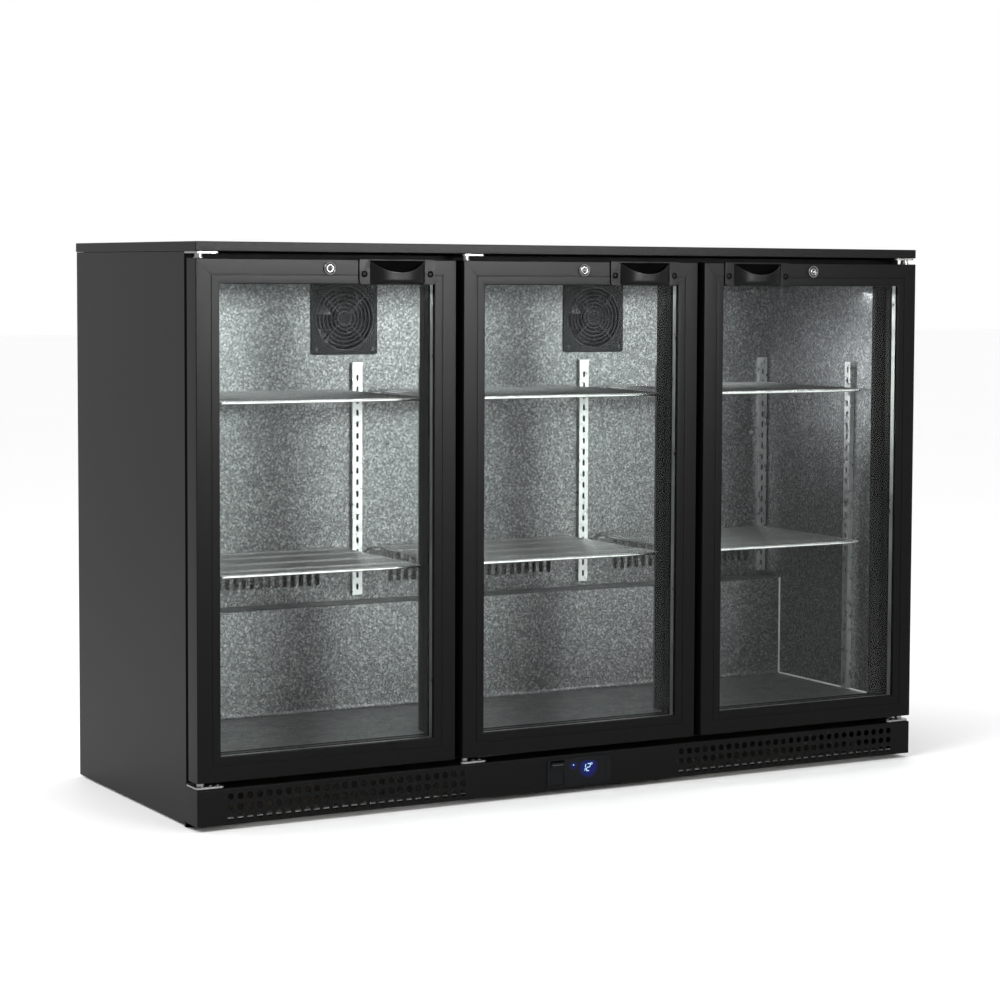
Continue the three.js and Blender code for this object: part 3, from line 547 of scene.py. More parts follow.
def kick_panel():
    """Folded sheet with two groups of round holes, and a recess behind the controls."""
    xs, ys, zs = spans("kick_panel")
    sheet = 1.5
    bm = bmesh.new()
    add_box(bm, xs, (ys[0], ys[1] + 9), (zs[0] - 9, zs[1]), bevel=2.6, segments=4)
    tool = bmesh.new()
    add_box(tool, (xs[0] - 5, xs[1] + 5), (ys[1], ys[1] + 20), (zs[0] - 20, zs[1] + 5))
    add_box(tool, (xs[0] - 5, xs[1] + 5), (ys[0] - 5, ys[1] + 30), (zs[0] - 30, zs[0]))
    bm = cut_away(bm, tool)
    tool = bmesh.new()
    add_box(tool, (xs[0] + sheet, xs[1] - sheet), (ys[0] + sheet, ys[1] + 5), (zs[0] - 5, zs[1] - sheet),
            bevel=0.8)
    bm = cut_away(bm, tool)
    tool = bmesh.new()
    add_box(tool, BEZEL_BODY[0], (ys[0] - 3, ys[0] + 5), BEZEL_BODY[1])
    for first, columns in ((LEFT + 54.5, 26), (RIGHT - 46 - 27 * KICK_PITCH, 28)):
        for column in range(columns):
            for z in KICK_ROWS:
                centre = (first + column * KICK_PITCH, ys[0], z)
                add_lathe(tool, [(0, -3), (KICK_HOLE, -3), (KICK_HOLE, 5), (0, 5)], centre, "y", 20)
    bm = cut_away(bm, tool)
    from_bmesh("kick_panel_sheet", bm, M_KICK, "cabinet", ["kick_panel"], sharp=30)


def back_panel():
    """Galvanised sheet with two groups of vents, its screws and the mains gland."""
    xs, ys, zs = spans("back_panel")
    face = (ys[0], ys[0] + 1.5)
    loops = [rectangle_loop(xs, zs)]
    for centre in (-430, 150):
        for row in range(9):
            z = 70 + row * 16
            loops.append(rectangle_loop((centre - 75, centre + 75), (z, z + 6), 2.9, 4))
    bm = bmesh.new()
    add_sheet(bm, loops, face, "xz", 0.2)
    from_bmesh("back_sheet", bm, M_GALV, "cabinet", ["back_panel"])

    screws = bmesh.new()
    left, right, bottom, top = xs[0] + 14, xs[1] - 14, zs[0] + 14, zs[1] - 14
    places = [(x, z) for x in (left, -400, -135, 135, 400, right) for z in (bottom, top)]
    places += [(x, z) for x in (left, right) for z in (250, 450, 650)]
    for x, z in places:
        add_pan_head(screws, (x, face[1], z), "y", 4.2, 2.2)
    from_bmesh("back_screws", screws, M_HINGE, "cabinet")

    gland = bmesh.new()
    rim = BACK - face[1] - 1
    profile = [(0, -0.5), (9, -0.5), (9, 1.4), (7.4, 2.0), (7.0, rim - 0.6), (6.4, rim), (4.6, rim),
               (4.2, 0.5), (0, 0.5)]
    add_lathe(gland, profile, (480, face[1], 60), "y", 28)
    from_bmesh("mains_gland", gland, M_PLASTIC, "cabinet")


def add_pan_head(bm, centre, axis, radius, height, sides=20):
    """Adds a dished screw head. It stands out along an axis, or backwards if height is negative."""
    sign = 1 if height > 0 else -1
    tall = abs(height)
    profile = [(0, -0.2), (radius, -0.2), (radius, 0.25 * tall), (0.88 * radius, 0.7 * tall),
               (0.6 * radius, 0.95 * tall), (0.42 * radius, tall), (0.28 * radius, 0.4 * tall),
               (0, 0.3 * tall)]
    add_lathe(bm, [(r, sign * d) for r, d in profile], centre, axis, sides)


def floor_parts():
    """Base pan with two ribs, and four feet on threaded studs."""
    xs, ys, zs = spans("base_pan")
    bm = bmesh.new()
    add_box(bm, xs, ys, zs, bevel=0.5)
    for y in (ys[0] + 120, ys[1] - 120):
        add_box(bm, (xs[0] + 60, xs[1] - 60), (y - 9, y + 9), (zs[0] - 1.4, zs[0] + 0.4), bevel=1.2)
    from_bmesh("base_sheet", bm, M_GALV, "cabinet", ["base_pan"])
    for end in ("front", "rear"):
        for side in ("left", "right"):
            node = "foot_%s_%s" % (end, side)
            (x0, x1), (y0, y1), (z0, _) = spans(node)
            foot = ((x0 + x1) / 2, (y0 + y1) / 2, z0)
            bm = bmesh.new()
            profile = [(0, 0), (18.6, 0), (19.6, 0.7), (19.4, 2.4), (18.2, 3.0), (18.0, 5.0), (17.2, 5.7),
                       (0, 5.7)]
            add_lathe(bm, profile, foot, "z", 40)
            from_bmesh(node + "_pad", bm, M_RUBBER, "cabinet", [node])
            bm = bmesh.new()
            thread = [(0, 4.0)]
            for i in range(18):
                thread += [(3.3, 5.0 + 1.25 * i), (4.0, 5.6 + 1.25 * i)]
            add_lathe(bm, thread + [(0, 28)], foot, "z", 16)
            from_bmesh(node + "_stud", bm, M_HINGE, "cabinet")


# ------------------------------------------------------------------ controls
SWITCH_HALF_HEIGHT = 20.9


def controls():
    """Gloss bezel with the switch's well, the display window and its lit figures."""
    xs, ys, zs = spans("control_bezel")
    (dx0, dx1), (dy0, dy1), (dz0, dz1) = spans("display_module")
    (sx0, sx1), _, _ = spans("light_switch")
    middle = (zs[0] + zs[1]) / 2
    wide = (sx0 - 0.3, sx1 + 0.3)
    tall = (middle - SWITCH_HALF_HEIGHT, middle + SWITCH_HALF_HEIGHT)
    switch_hole = rectangle_loop(wide, tall, 1.5, 4)
    window = rectangle_loop((dx0 - 0.2, dx1 + 0.2), (dz0 - 0.2, dz1 + 0.2), 1.5, 4)
    bm = bmesh.new()
    add_sheet(bm, [rectangle_loop(xs, zs, 4, 8), switch_hole, window], (ys[0], FRONT - 0.1), "xz", 0.5)
    wall = 1.2
    rim = rectangle_loop((wide[0] - wall, wide[1] + wall), (tall[0] - wall / 2, tall[1] + wall / 2))
    add_sheet(bm, [rim, rectangle_loop(wide, tall)], (FRONT - 0.4, FRONT + 16), "xz")
    add_box(bm, (sx0 - 1, sx1 + 1), (FRONT + 16, FRONT + 24), (middle - 20, middle + 20), bevel=0.5)
    from_bmesh("control_face", bm, M_GLOSS, "cabinet", ["control_bezel"])

    bm = bmesh.new()
    add_box(bm, (dx0, dx1), (dy0 + 0.2, dy1), (dz0, dz1), bevel=0.5)
    from_bmesh("display_window", bm, M_DISPLAY, "cabinet", ["display_module"])

    lit = bmesh.new()
    face = (dy0 - 0.05, dy0 + 0.3)
    add_digit(lit, 1.0, middle - 0.9, face, "1")
    add_digit(lit, 9.6, middle - 0.9, face, "2")
    degree = [(1.8, -0.05), (1.8, 0.3), (1.1, 0.3), (1.1, -0.05), (1.8, -0.05)]
    add_lathe(lit, degree, (19.2, dy0, middle + 10.6), "y", 20)
    add_box(lit, (-16.0, -14.2), face, (middle + 10.1, middle + 11.9), bevel=0.15)
    from_bmesh("display_digits", lit, M_DIGIT, "cabinet")


SEGMENTS = {"1": "bc", "2": "abged"}
SEGMENT_ENDS = {"a": ((0, 2), (1, 2)), "b": ((1, 2), (1, 1)), "c": ((1, 1), (1, 0)), "d": ((0, 0), (1, 0)),
                "e": ((0, 1), (0, 0)), "g": ((0, 1), (1, 1))}


def add_digit(bm, x, z, face, figure, width=5.6, height=5.9, thick=1.15, lean=0.16):
    """Adds a lit seven-segment figure that leans to the right."""
    for name in SEGMENTS[figure]:
        (a0, b0), (a1, b1) = SEGMENT_ENDS[name]
        start = Vector((a0 * width, b0 * height))
        end = Vector((a1 * width, b1 * height))
        along = (end - start).normalized()
        side = Vector((-along.y, along.x)) * thick / 2
        start += along * 0.25
        end -= along * 0.25
        tip = along * thick / 2
        flat = [start, start + tip + side, end - tip + side, end, end - tip - side, start + tip - side]
        points = [(x + p.x + lean * p.y, z + p.y) for p in flat]
        front = [bm.verts.new((a, face[0], b)) for a, b in points]
        back = [bm.verts.new((a, face[1], b)) for a, b in points]
        bm.faces.new(front)
        bm.faces.new(back)
        join_rings(bm, front, back)


def rocker():
    """Rocker cap with a dished face, drawn level and then tilted to its rest position."""
    (x0, x1), _, _ = spans("light_switch")
    half = 19.2
    tilt = math.radians(8)
    pivot = Vector((0, FRONT + 6, 36))
    valley = 6.5

    def face(z):
        return -valley - abs(z) * math.tan(tilt) * (0.35 + 0.65 * abs(z) / half)

    outline = []
    for i in range(13):
        z = half - 2 * half * i / 12
        outline.append((face(z), z))
    outline += [(1, -half), (8, -5), (8, 5), (1, half)]
    bm = bmesh.new()
    ends = []
    for x in (x0, x1):
        ring = []
        for y, z in outline:
            turned = Matrix.Rotation(tilt, 3, "X") @ Vector((0, y, z))
            ring.append(bm.verts.new(pivot + turned + Vector((x, 0, 0))))
        ends.append(ring)
        bm.faces.new(ring)
    join_rings(bm, *ends)
    soften(bm, 0.8, 3, 50)
    from_bmesh("rocker_cap", bm, M_GLOSS, "switch_rocker", ["light_switch"], sharp=50)
    # A light grey raised bar across the rocker near its top.
    bm = bmesh.new()
    add_box(bm, (x0 + 3.2, x1 - 3.2), (-0.25, 0.25), (-0.9, 0.9), bevel=0.2)
    bar_z = 15.2
    raised = Matrix.Translation((0, face(bar_z), bar_z))
    bm.transform(Matrix.Translation(pivot) @ Matrix.Rotation(tilt, 4, "X") @ raised)
    from_bmesh("rocker_top_bar", bm, M_ROCKER_BAR, "switch_rocker")


# ------------------------------------------------------------------ doors
GLASS_EDGE = 28


def door(number):
    """Mitred frame, two panes, spacer and sealant, seal, handle and lock."""
    name = body = "door_%d" % number
    (x0, x1), (y0, _), (z0, z1) = spans(name + "_frame")
    profile = [(0, 36), (0, 1.5), (0.45, 0.45), (1.5, 0), (23.3, 0), (23.7, 0.25), (23.9, 0.9), (25.1, 0.9),
               (25.3, 0.25), (25.7, 0), (37.0, 0), (38.1, 0.4), (38.5, 1.4), (38.5, 2.7), (27.7, 2.7),
               (27.7, 23.3), (38.0, 23.3), (38.5, 23.8), (38.5, 35.2), (37.7, 36)]
    bm = bmesh.new()
    add_rail_ring(bm, (x0, x1), (z0, z1), y0, profile, seam=0.14)
    from_bmesh(name + "_rails", bm, M_DOOR, body, [name + "_frame"], sharp=40)

    inset = (x0 + GLASS_EDGE, x1 - GLASS_EDGE), (z0 + GLASS_EDGE, z1 - GLASS_EDGE)
    bm = bmesh.new()
    for depth in ((3, 7), (19, 23)):
        add_box(bm, inset[0], (y0 + depth[0], y0 + depth[1]), inset[1], bevel=0.4, segments=1)
    from_bmesh(name + "_panes", bm, M_GLASS, body, [name + "_glass"])
    bm = bmesh.new()
    bar = [(0.4, 7.3), (9.2, 7.3), (10, 8.1), (10, 17.9), (9.2, 18.7), (0.4, 18.7)]
    add_rail_ring(bm, *inset, y0, bar, seam=0.02)
    from_bmesh(name + "_spacer", bm, M_SPACER, body)
    bm = bmesh.new()
    for depth in ((7.03, 7.28), (18.72, 18.97)):
        band = [(0.4, depth[0]), (10.6, depth[0]), (10.6, depth[1]), (0.4, depth[1])]
        add_rail_ring(bm, *inset, y0, band)
    from_bmesh(name + "_butyl", bm, M_GASKET, body)

    seal_xs, (seal_front, _), seal_zs = spans(name + "_gasket")
    seal = [(0, 0.1), (14, 0.1), (14, 1.6), (11.5, 2.2), (10.2, 4.0), (11.4, 5.6), (13.4, 6.6), (13.8, 8.2),
            (13.5, 11.6), (12.6, 13.0), (1.6, 13.0), (0.5, 11.8), (0.2, 8.4), (1.0, 6.4), (2.6, 5.4),
            (3.8, 4.0), (2.5, 2.2), (0, 1.6)]
    bm = bmesh.new()
    add_rail_ring(bm, seal_xs, seal_zs, seal_front, seal, seam=0.03)
    from_bmesh(name + "_seal", bm, M_GASKET, body, [name + "_gasket"], sharp=50)
    handle(number)
    lock(number)


def handle(number):
    """Moulded finger cup: two screwed ears and a bowed lip with a smile-shaped top edge."""
    name = "door_%d" % number
    (x0, x1), (y0, y1), (z0, z1) = spans(name + "_handle")
    centre = (x0 + x1) / 2
    half_cup = 48
    ear = (x1 - x0) / 2 - half_cup
    height = z1 - z0
    bm = bmesh.new()
    pocket = rectangle_loop((centre - half_cup, centre + half_cup), (z0 + 1.6, z1 - 1.2))
    add_sheet(bm, [lower_rounded((x0, x1), (z0, z1), 6), pocket], (y1 - 2.4, y1), "xz", 0.6)
    columns, rows = 40, 14
    bow = -y0 + y1 - 2.4
    rise = 18.6
    radius = (half_cup ** 2 + rise ** 2) / (2 * rise)
    grid = []
    for i in range(columns + 1):
        t = -1 + 2 * i / columns
        across = (half_cup - 0.8) * math.copysign(1 - (1 - abs(t)) ** 1.35, t)
        u = across / (half_cup - 0.8)
        out = bow * (1 - abs(u) ** 2.9) ** 0.85
        top = height - 20.5 + radius - math.sqrt(radius ** 2 - across ** 2)
        column = []
        for j in range(rows + 1):
            v = (j / rows) ** 1.5
            z = top * v
            lower = max(0.0, 1 - z / 7.0)
            depth = out * math.sqrt(max(0.0, 1 - lower ** 2)) if z < 7 else out
            lean = 0.985 + 0.015 * (z / height)
            column.append(bm.verts.new((centre + across, y1 - 2.2 - depth * lean, z0 + z)))
        grid.append(column)
    edge_path = [column[-1].co + Vector((0, 0.75, -0.1)) for column in grid[2:-2]]
    skin = add_grid(bm, grid)
    bmesh.ops.recalc_face_normals(bm, faces=bm.faces)
    if skin[len(skin) // 2].normal.y > 0:
        bmesh.ops.reverse_faces(bm, faces=skin)
    bmesh.ops.solidify(bm, geom=skin, thickness=2.2)
    rim = [e for e in bm.edges if len(e.link_faces) == 2 and e.calc_face_angle(0) > math.radians(60)
           and all(abs(v.co.x - centre) < half_cup - 2 for v in e.verts)]
    bmesh.ops.bevel(bm, geom=rim, offset=0.7, segments=2, profile=0.5, affect="EDGES", clamp_overlap=True)
    from_bmesh(name + "_finger_cup", bm, M_HANDLE, name, [name + "_handle"], sharp=45)
    # Painted highlight: a thin, lighter tube along the lip's smile-shaped top edge.
    bm = bmesh.new()
    add_tube(bm, edge_path, 0.55, 10)
    from_bmesh(name + "_cup_edge_highlight", bm, M_EDGE_HIGHLIGHT, name)

    # Painted shade: a dead-black sheet just behind the handle plate, a little larger than it. It shows as a
    # dark outline round the handle, and as the dark back of the finger pocket seen through the plate's
    # opening.
    bm = bmesh.new()
    add_sheet(bm, [lower_rounded((x0 - 0.7, x1 + 0.7), (z0 - 0.7, z1), 6.6)], (y1 - 0.5, y1 + 0.28), "xz")
    from_bmesh(name + "_handle_shadow_gap", bm, M_SHADOW, name)
    rims, screws, wells = bmesh.new(), bmesh.new(), bmesh.new()
    rim = [(5.3, 0.1), (5.3, -0.35), (5.0, -0.6), (4.7, -0.35), (4.6, 0.1), (5.3, 0.1)]
    well = [(0, 0.1), (4.7, 0.1), (4.7, -0.15), (0, -0.15)]
    for x in (x0 + ear * 0.46, x1 - ear * 0.46):
        add_lathe(rims, rim, (x, y1 - 2.35, z0 + 16), "y", 28)
        add_pan_head(screws, (x, y1 - 2.45, z0 + 16), "y", 2.9, -0.5)
        # Painted shade: a dead-black disc round each screw head stands in for the shade in the recess the
        # screw sits in.
        add_lathe(wells, well, (x, y1 - 2.4, z0 + 16), "y", 28)
    from_bmesh(name + "_screw_rims", rims, M_HANDLE, name)
    from_bmesh(name + "_handle_screws", screws, M_SCREW, name)
    from_bmesh(name + "_screw_well_shade", wells, M_SHADOW, name)


def lower_rounded(a, b, radius, steps=8):
    """A rectangle whose two lower corners are round."""
    loop = []
    for ca, start in ((a[0] + radius, 180), (a[1] - radius, 270)):
        loop += quarter_turn(ca, b[0] + radius, radius, start, steps)
    return loop + [(a[1], b[1]), (a[0], b[1])]


def lock(number):
    """Cylinder lock: a rounded collar, and a dished core with a key way that turns."""
    name = "door_%d" % number
    (x0, x1), _, (z0, z1) = spans(name + "_lock_barrel")
    x, z = (x0 + x1) / 2, (z0 + z1) / 2
    centre = (x, FRONT, z)
    barrel = [(7.3, 20), (7.3, -0.6), (7.6, -1.9), (8.2, -2.9), (9.0, -3.4), (9.8, -3.1), (10.3, -2.2),
              (10.5, -1.0), (10.5, 20)]
    bm = bmesh.new()
    add_lathe(bm, barrel, centre, "y", 48)
    from_bmesh(name + "_lock_collar", bm, M_CHROME, name, [name + "_lock_barrel"], sharp=50)
    bm = bmesh.new()
    core = [(0, 20), (6.9, 20), (6.9, -1.6), (6.5, -2.4), (5.7, -2.8), (4.8, -2.7), (3.4, -2.1), (1.8, -1.6),
            (0, -1.4)]
    add_lathe(bm, core, centre, "y", 40)
    tool = bmesh.new()
    add_box(tool, (x - 0.9, x + 0.9), (FRONT - 5, FRONT + 2), (z - 4.4, z + 4.4), bevel=0.4)
    bm = cut_away(bm, tool)
    body = name + "_lock"
    from_bmesh(name + "_lock_core", bm, M_CHROME, body, [name + "_lock_plug"], sharp=40)
    # Painted shade: a dead-black block lines the bottom of the key way cut, standing in for the shade deep in
    # the slot.
    bm = bmesh.new()
    add_box(bm, (x - 1.1, x + 1.1), (FRONT + 0.3, FRONT + 2.2), (z - 4.6, z + 4.6), bevel=0.2)
    from_bmesh(name + "_key_way_shade", bm, M_SHADOW, body)


def hinges(number):
    """Two plates with a pin and bush each: one under the worktop, one on top of the kick panel."""
    (dx0, dx1), _, (dz0, dz1) = spans("door_%d_frame" % number)
    side = 1 if number < 3 else -1
    corner = dx0 if side > 0 else dx1
    pin = (corner + side * 12, FRONT + 18, 0)

    def across(a, b):
        return ordered(corner + side * a, corner + side * b)

    def add_parts(bm, plate, length, bush, pin_span, screws, head_z, head):
        outline = rectangle_loop(across(0.5, length), (FRONT + 4, FRONT + 49), 5, 6)
        add_sheet(bm, [outline], plate, "xy", 0.35)
        add_lathe(bm, [(0, pin_span[0]), (4, pin_span[0]), (4, pin_span[1]), (0, pin_span[1])], pin, "z", 24)
        add_lathe(bm, bush, pin, "z", 28)
        for a, b in screws:
            add_pan_head(bm, (corner + side * a, FRONT + b, head_z), "z", 3.8, head)

    for level in ("upper", "lower"):
        node = "hinge_%d_%s" % (number, level)
        _, _, (low, high) = spans(node)
        bm = bmesh.new()
        if level == "upper":
            base = high - 3
            bush = [(4.2, dz1 + 0.2), (7.6, dz1 + 0.2), (7.6, dz1 + 1.6), (6.2, dz1 + 2.2), (6.2, base),
                    (4.2, base)]
            screws = ((30, 60), (14, 60), (30, 85))
            add_parts(bm, (base, high), 40, bush, (dz1 - 12, base + 1), screws, base, -2.0)
            add_box(bm, across(4, 40), (FRONT + 44, FRONT + 100), (base, high), bevel=0.35)
        else:
            base = low + 3
            bush = [(4.2, base), (6.2, base), (6.2, dz0 - 2.2), (7.6, dz0 - 1.6), (7.6, dz0 - 0.2),
                    (4.2, dz0 - 0.2)]
            screws = ((26, 15), (38, 15), (26, 38))
            add_parts(bm, (low, base), 46, bush, (base - 1, dz0 + 12), screws, base, 2.0)
        from_bmesh(node + "_plate", bm, M_HINGE, "cabinet", [node], sharp=40)


# ------------------------------------------------------------------ cold space
FLOOR_Z, CEILING_Z = 110, 840
LINER_BACK = FRONT + 480
STEP_FRONT = FRONT + 340
STEP_TOP = 290
TANK_FRONT = FRONT + 60.3
BAY_EDGE = 625
MULLIONS = (-225, 225)
HALF_MULLION = 30
BAY_SPANS = ((-BAY_EDGE, MULLIONS[0] - HALF_MULLION),
             (MULLIONS[0] + HALF_MULLION, MULLIONS[1] - HALF_MULLION),
             (MULLIONS[1] + HALF_MULLION, BAY_EDGE))
COVER_FRONT = FRONT + 393
UPRIGHT_TOP = 700


def liner():
    """Folded tank: floor, machine-compartment step, back and ceiling in one bent sheet, and two flat ends."""
    sheet = 1.1
    path = [(TANK_FRONT, FLOOR_Z), (STEP_FRONT, FLOOR_Z), (STEP_FRONT, STEP_TOP), (LINER_BACK, STEP_TOP),
            (LINER_BACK, CEILING_Z), (TANK_FRONT, CEILING_Z)]
    bends = (7, 3.5, 7, 7)
    inner = [Vector(path[0])]
    for radius, before, corner, after in zip(bends, path, path[1:], path[2:]):
        corner = Vector(corner)
        a = (Vector(before) - corner).normalized()
        b = (Vector(after) - corner).normalized()
        centre = corner + (a + b) * radius
        for i in range(9):
            turn = math.radians(90 * i / 8)
            inner.append(centre - b * radius * math.cos(turn) - a * radius * math.sin(turn))
    inner.append(Vector(path[-1]))
    outer = []
    for i, point in enumerate(inner):
        along = (inner[min(i + 1, len(inner) - 1)] - inner[max(i - 1, 0)]).normalized()
        outer.append(point + Vector((along.y, -along.x)) * sheet)
    section = inner + outer[::-1]
    bm = bmesh.new()
    ends = []
    for x in (-BAY_EDGE, BAY_EDGE):
        ends.append([bm.verts.new((x, y, z)) for y, z in section])
    join_rings(bm, *ends)
    for side in (-1, 1):
        add_sheet(bm, [path], ordered(side * BAY_EDGE, side * (BAY_EDGE + sheet)), "yz")
    from_bmesh("liner_sheets", bm, M_LINER, "cabinet", ["liner"], sharp=40)

    seams = bmesh.new()
    for side in (-1, 1):
        x = side * (BAY_EDGE - 0.9)
        add_tube(seams, [(x, TANK_FRONT + 1, FLOOR_Z + 0.9), (x, STEP_FRONT - 1, FLOOR_Z + 0.9)], 1.6)
        add_tube(seams, [(x, STEP_FRONT - 0.9, FLOOR_Z + 1), (x, STEP_FRONT - 0.9, STEP_TOP)], 1.6)
    from_bmesh("liner_seams", seams, M_SEALANT, "cabinet")


def face_frame():
    """Black moulding round the three bays, with its two mullions."""
    xs, ys, zs = spans("face_frame")
    bm = bmesh.new()
    windows = [rectangle_loop(bay, (FLOOR_Z, CEILING_Z), 3, 4) for bay in BAY_SPANS]
    add_sheet(bm, [rectangle_loop(xs, zs)] + windows, (ys[0], ys[0] + 10), "xz", 0.6)
    for x in MULLIONS:
        across = (x - HALF_MULLION, x + HALF_MULLION)
        add_box(bm, across, (ys[0] + 1, ys[1]), (FLOOR_Z + 0.4, CEILING_Z - 0.4), bevel=1.6, segments=3)
    from_bmesh("face_frame_moulding", bm, M_FACE, "cabinet", ["face_frame"])


def shelf(bay, level):
    """Welded wire shelf: a rim, three cross bars and close wires from front to back."""
    node = "shelf_%d_%s" % (bay, level)
    (x0, x1), (y0, y1), (_, z1) = spans(node)
    rim_r, bar_r, wire_r = 2.2, 1.8, 0.9
    rim_z = z1 - 2 * wire_r - rim_r + 0.4
    bm = bmesh.new()
    corner = 9
    centre_loop = rectangle_loop((x0 + rim_r, x1 - rim_r), (y0 + rim_r, y1 - rim_r), corner, 6)
    points = [(a, b, rim_z) for a, b in centre_loop]
    start = ((x0 + x1) / 2, y0 + rim_r, rim_z)
    closed = points[points.index(min(points, key=lambda p: (p[1], -p[0]))):]
    rest = points[:len(points) - len(closed)]
    add_tube(bm, [start, *closed, *rest, start], rim_r, 10)
    for y in (y0 + 70, (y0 + y1) / 2, y1 - 70):
        add_tube(bm, [(x0 + rim_r, y, rim_z), (x1 - rim_r, y, rim_z)], bar_r, 8)
    count = round((x1 - x0 - 12) / 5)
    top = z1 - wire_r
    for i in range(count + 1):
        x = x0 + 6 + (x1 - x0 - 12) * i / count
        add_tube(bm, [(x, y0 + 0.6, top), (x, y1 - 0.6, top)], wire_r, 6)
    from_bmesh(node + "_wires", bm, M_WIRE, "cabinet", [node], sharp=60)


def slotted_strip(bm, across, zs, depth, plane):
    """Adds a strip with a row of slots for shelf clips."""
    middle = sum(across) / 2
    loops = [rectangle_loop(across, zs)]
    z = zs[0] + 14
    while z < zs[1] - 12:
        loops.append(rectangle_loop((middle - 2.4, middle + 2.4), (z - 5.5, z + 5.5), 2.2, 4))
        z += 20
    add_sheet(bm, loops, depth, plane, 0.25)


def uprights():
    """Slotted uprights on the side walls and mullions, and the clips that carry the shelves."""
    for side, node in ((-1, "upright_left"), (1, "upright_right")):
        (x0, x1), ys, zs = spans(node)
        proud = x1 if side < 0 else x0
        wall = x0 if side < 0 else x1
        bm = bmesh.new()
        slotted_strip(bm, ys, zs, ordered(proud, proud + side * 1.5), "yz")
        for y in (ys[0] + 0.75, ys[1] - 0.75):
            add_box(bm, ordered(proud + side * 0.5, wall), (y - 0.75, y + 0.75), zs, bevel=0.3)
        from_bmesh(node + "_strip", bm, M_UPRIGHT, "cabinet", [node])
    for number, x in enumerate(MULLIONS, 1):
        node = "upright_mullion_%d" % number
        _, ys, zs = spans(node)
        bm = bmesh.new()
        for side in (-1, 1):
            slotted_strip(bm, ordered(x + side * 27.9, x + side * 12), zs, (ys[1] - 1.5, ys[1]), "xz")
            add_box(bm, ordered(x + side * 28, x + side * 26.6), ys, zs, bevel=0.3)
        add_box(bm, (x - 14, x + 14), (ys[0], ys[0] + 1.5), zs, bevel=0.3)
        from_bmesh(node + "_strip", bm, M_UPRIGHT_DARK, "cabinet", [node])

    clips = bmesh.new()
    for bay in (1, 2, 3):
        for level in ("lower", "upper"):
            (x0, x1), (_, y1), (z0, _) = spans("shelf_%d_%s" % (bay, level))
            seat = (z0 - 2.2, z0 - 0.3)
            for x, inward in ((x0, 1), (x1, -1)):
                at_wall = abs(x) > 500
                strip_x = x if at_wall else x - inward * 2.4
                y = FRONT + 119 if at_wall else FRONT + 100
                root = strip_x - inward * 1.5
                add_box(clips, ordered(root, strip_x + inward * 9), (y - 5, y + 5), seat, bevel=0.5)
                tab = ordered(root, strip_x + inward * 0.3)
                add_box(clips, tab, (y - 5, y + 5), (z0 - 9, z0 - 0.5), bevel=0.5)
                add_box(clips, (x - 6, x + 6), (y1 - 6, COVER_FRONT - 7.6), seat, bevel=0.5)
    from_bmesh("shelf_clips", clips, M_UPRIGHT, "cabinet")


FAN_X = (-247, 247)
FAN_Z = 776
CONDENSER_FAN_Z = 118


def evaporator():
    """Cover sheet with its air slots, ribs and screws, then the fans and the coil behind it."""
    xs, _, zs = spans("evaporator_cover")
    face = (COVER_FRONT, COVER_FRONT + 1.2)
    loops = [rectangle_loop(xs, zs)]
    loops += [circle_loop(x, FAN_Z, 54, 48) for x in FAN_X]
    for x0, x1 in BAY_SPANS:
        count = (x1 - x0 - 60) // 15
        first = (x0 + x1 - (count - 1) * 15) / 2
        for i in range(count):
            x = first + i * 15
            loops.append(rectangle_loop((x - 4.5, x + 4.5), (318, 376), 4.4, 6))
    bm = bmesh.new()
    add_sheet(bm, loops, face, "xz", 0.2)
    from_bmesh("cover_sheet", bm, M_LINER, "cabinet", ["evaporator_cover"])
    bm = bmesh.new()
    rib_zs = (STEP_TOP + 10, UPRIGHT_TOP)
    for x in (-BAY_EDGE + 12, *MULLIONS, BAY_EDGE - 12):
        slotted_strip(bm, (x - 9, x + 9), rib_zs, (COVER_FRONT - 8, COVER_FRONT - 6.6), "xz")
        for edge in (x - 8.3, x + 8.3):
            add_box(bm, (edge - 0.7, edge + 0.7), (COVER_FRONT - 7, COVER_FRONT), rib_zs, bevel=0.3)
    from_bmesh("cover_ribs", bm, M_UPRIGHT, "cabinet")
    bm = bmesh.new()
    for x0, x1 in BAY_SPANS:
        for x in (x0 + 32, x1 - 32):
            for z in (STEP_TOP + 16, 560, CEILING_Z - 16):
                add_pan_head(bm, (x, COVER_FRONT, z), "y", 4, -2)
    from_bmesh("cover_screws", bm, M_HINGE, "cabinet")
    for side, x in zip(("left", "right"), FAN_X):
        fan_guard(side, x)
        _, (y0, _), _ = spans("evaporator_fan_" + side)
        rotor("evaporator_fan_" + side, "fan_" + side, Vector((x, y0, FAN_Z)), "y", 48.8)
    coil()


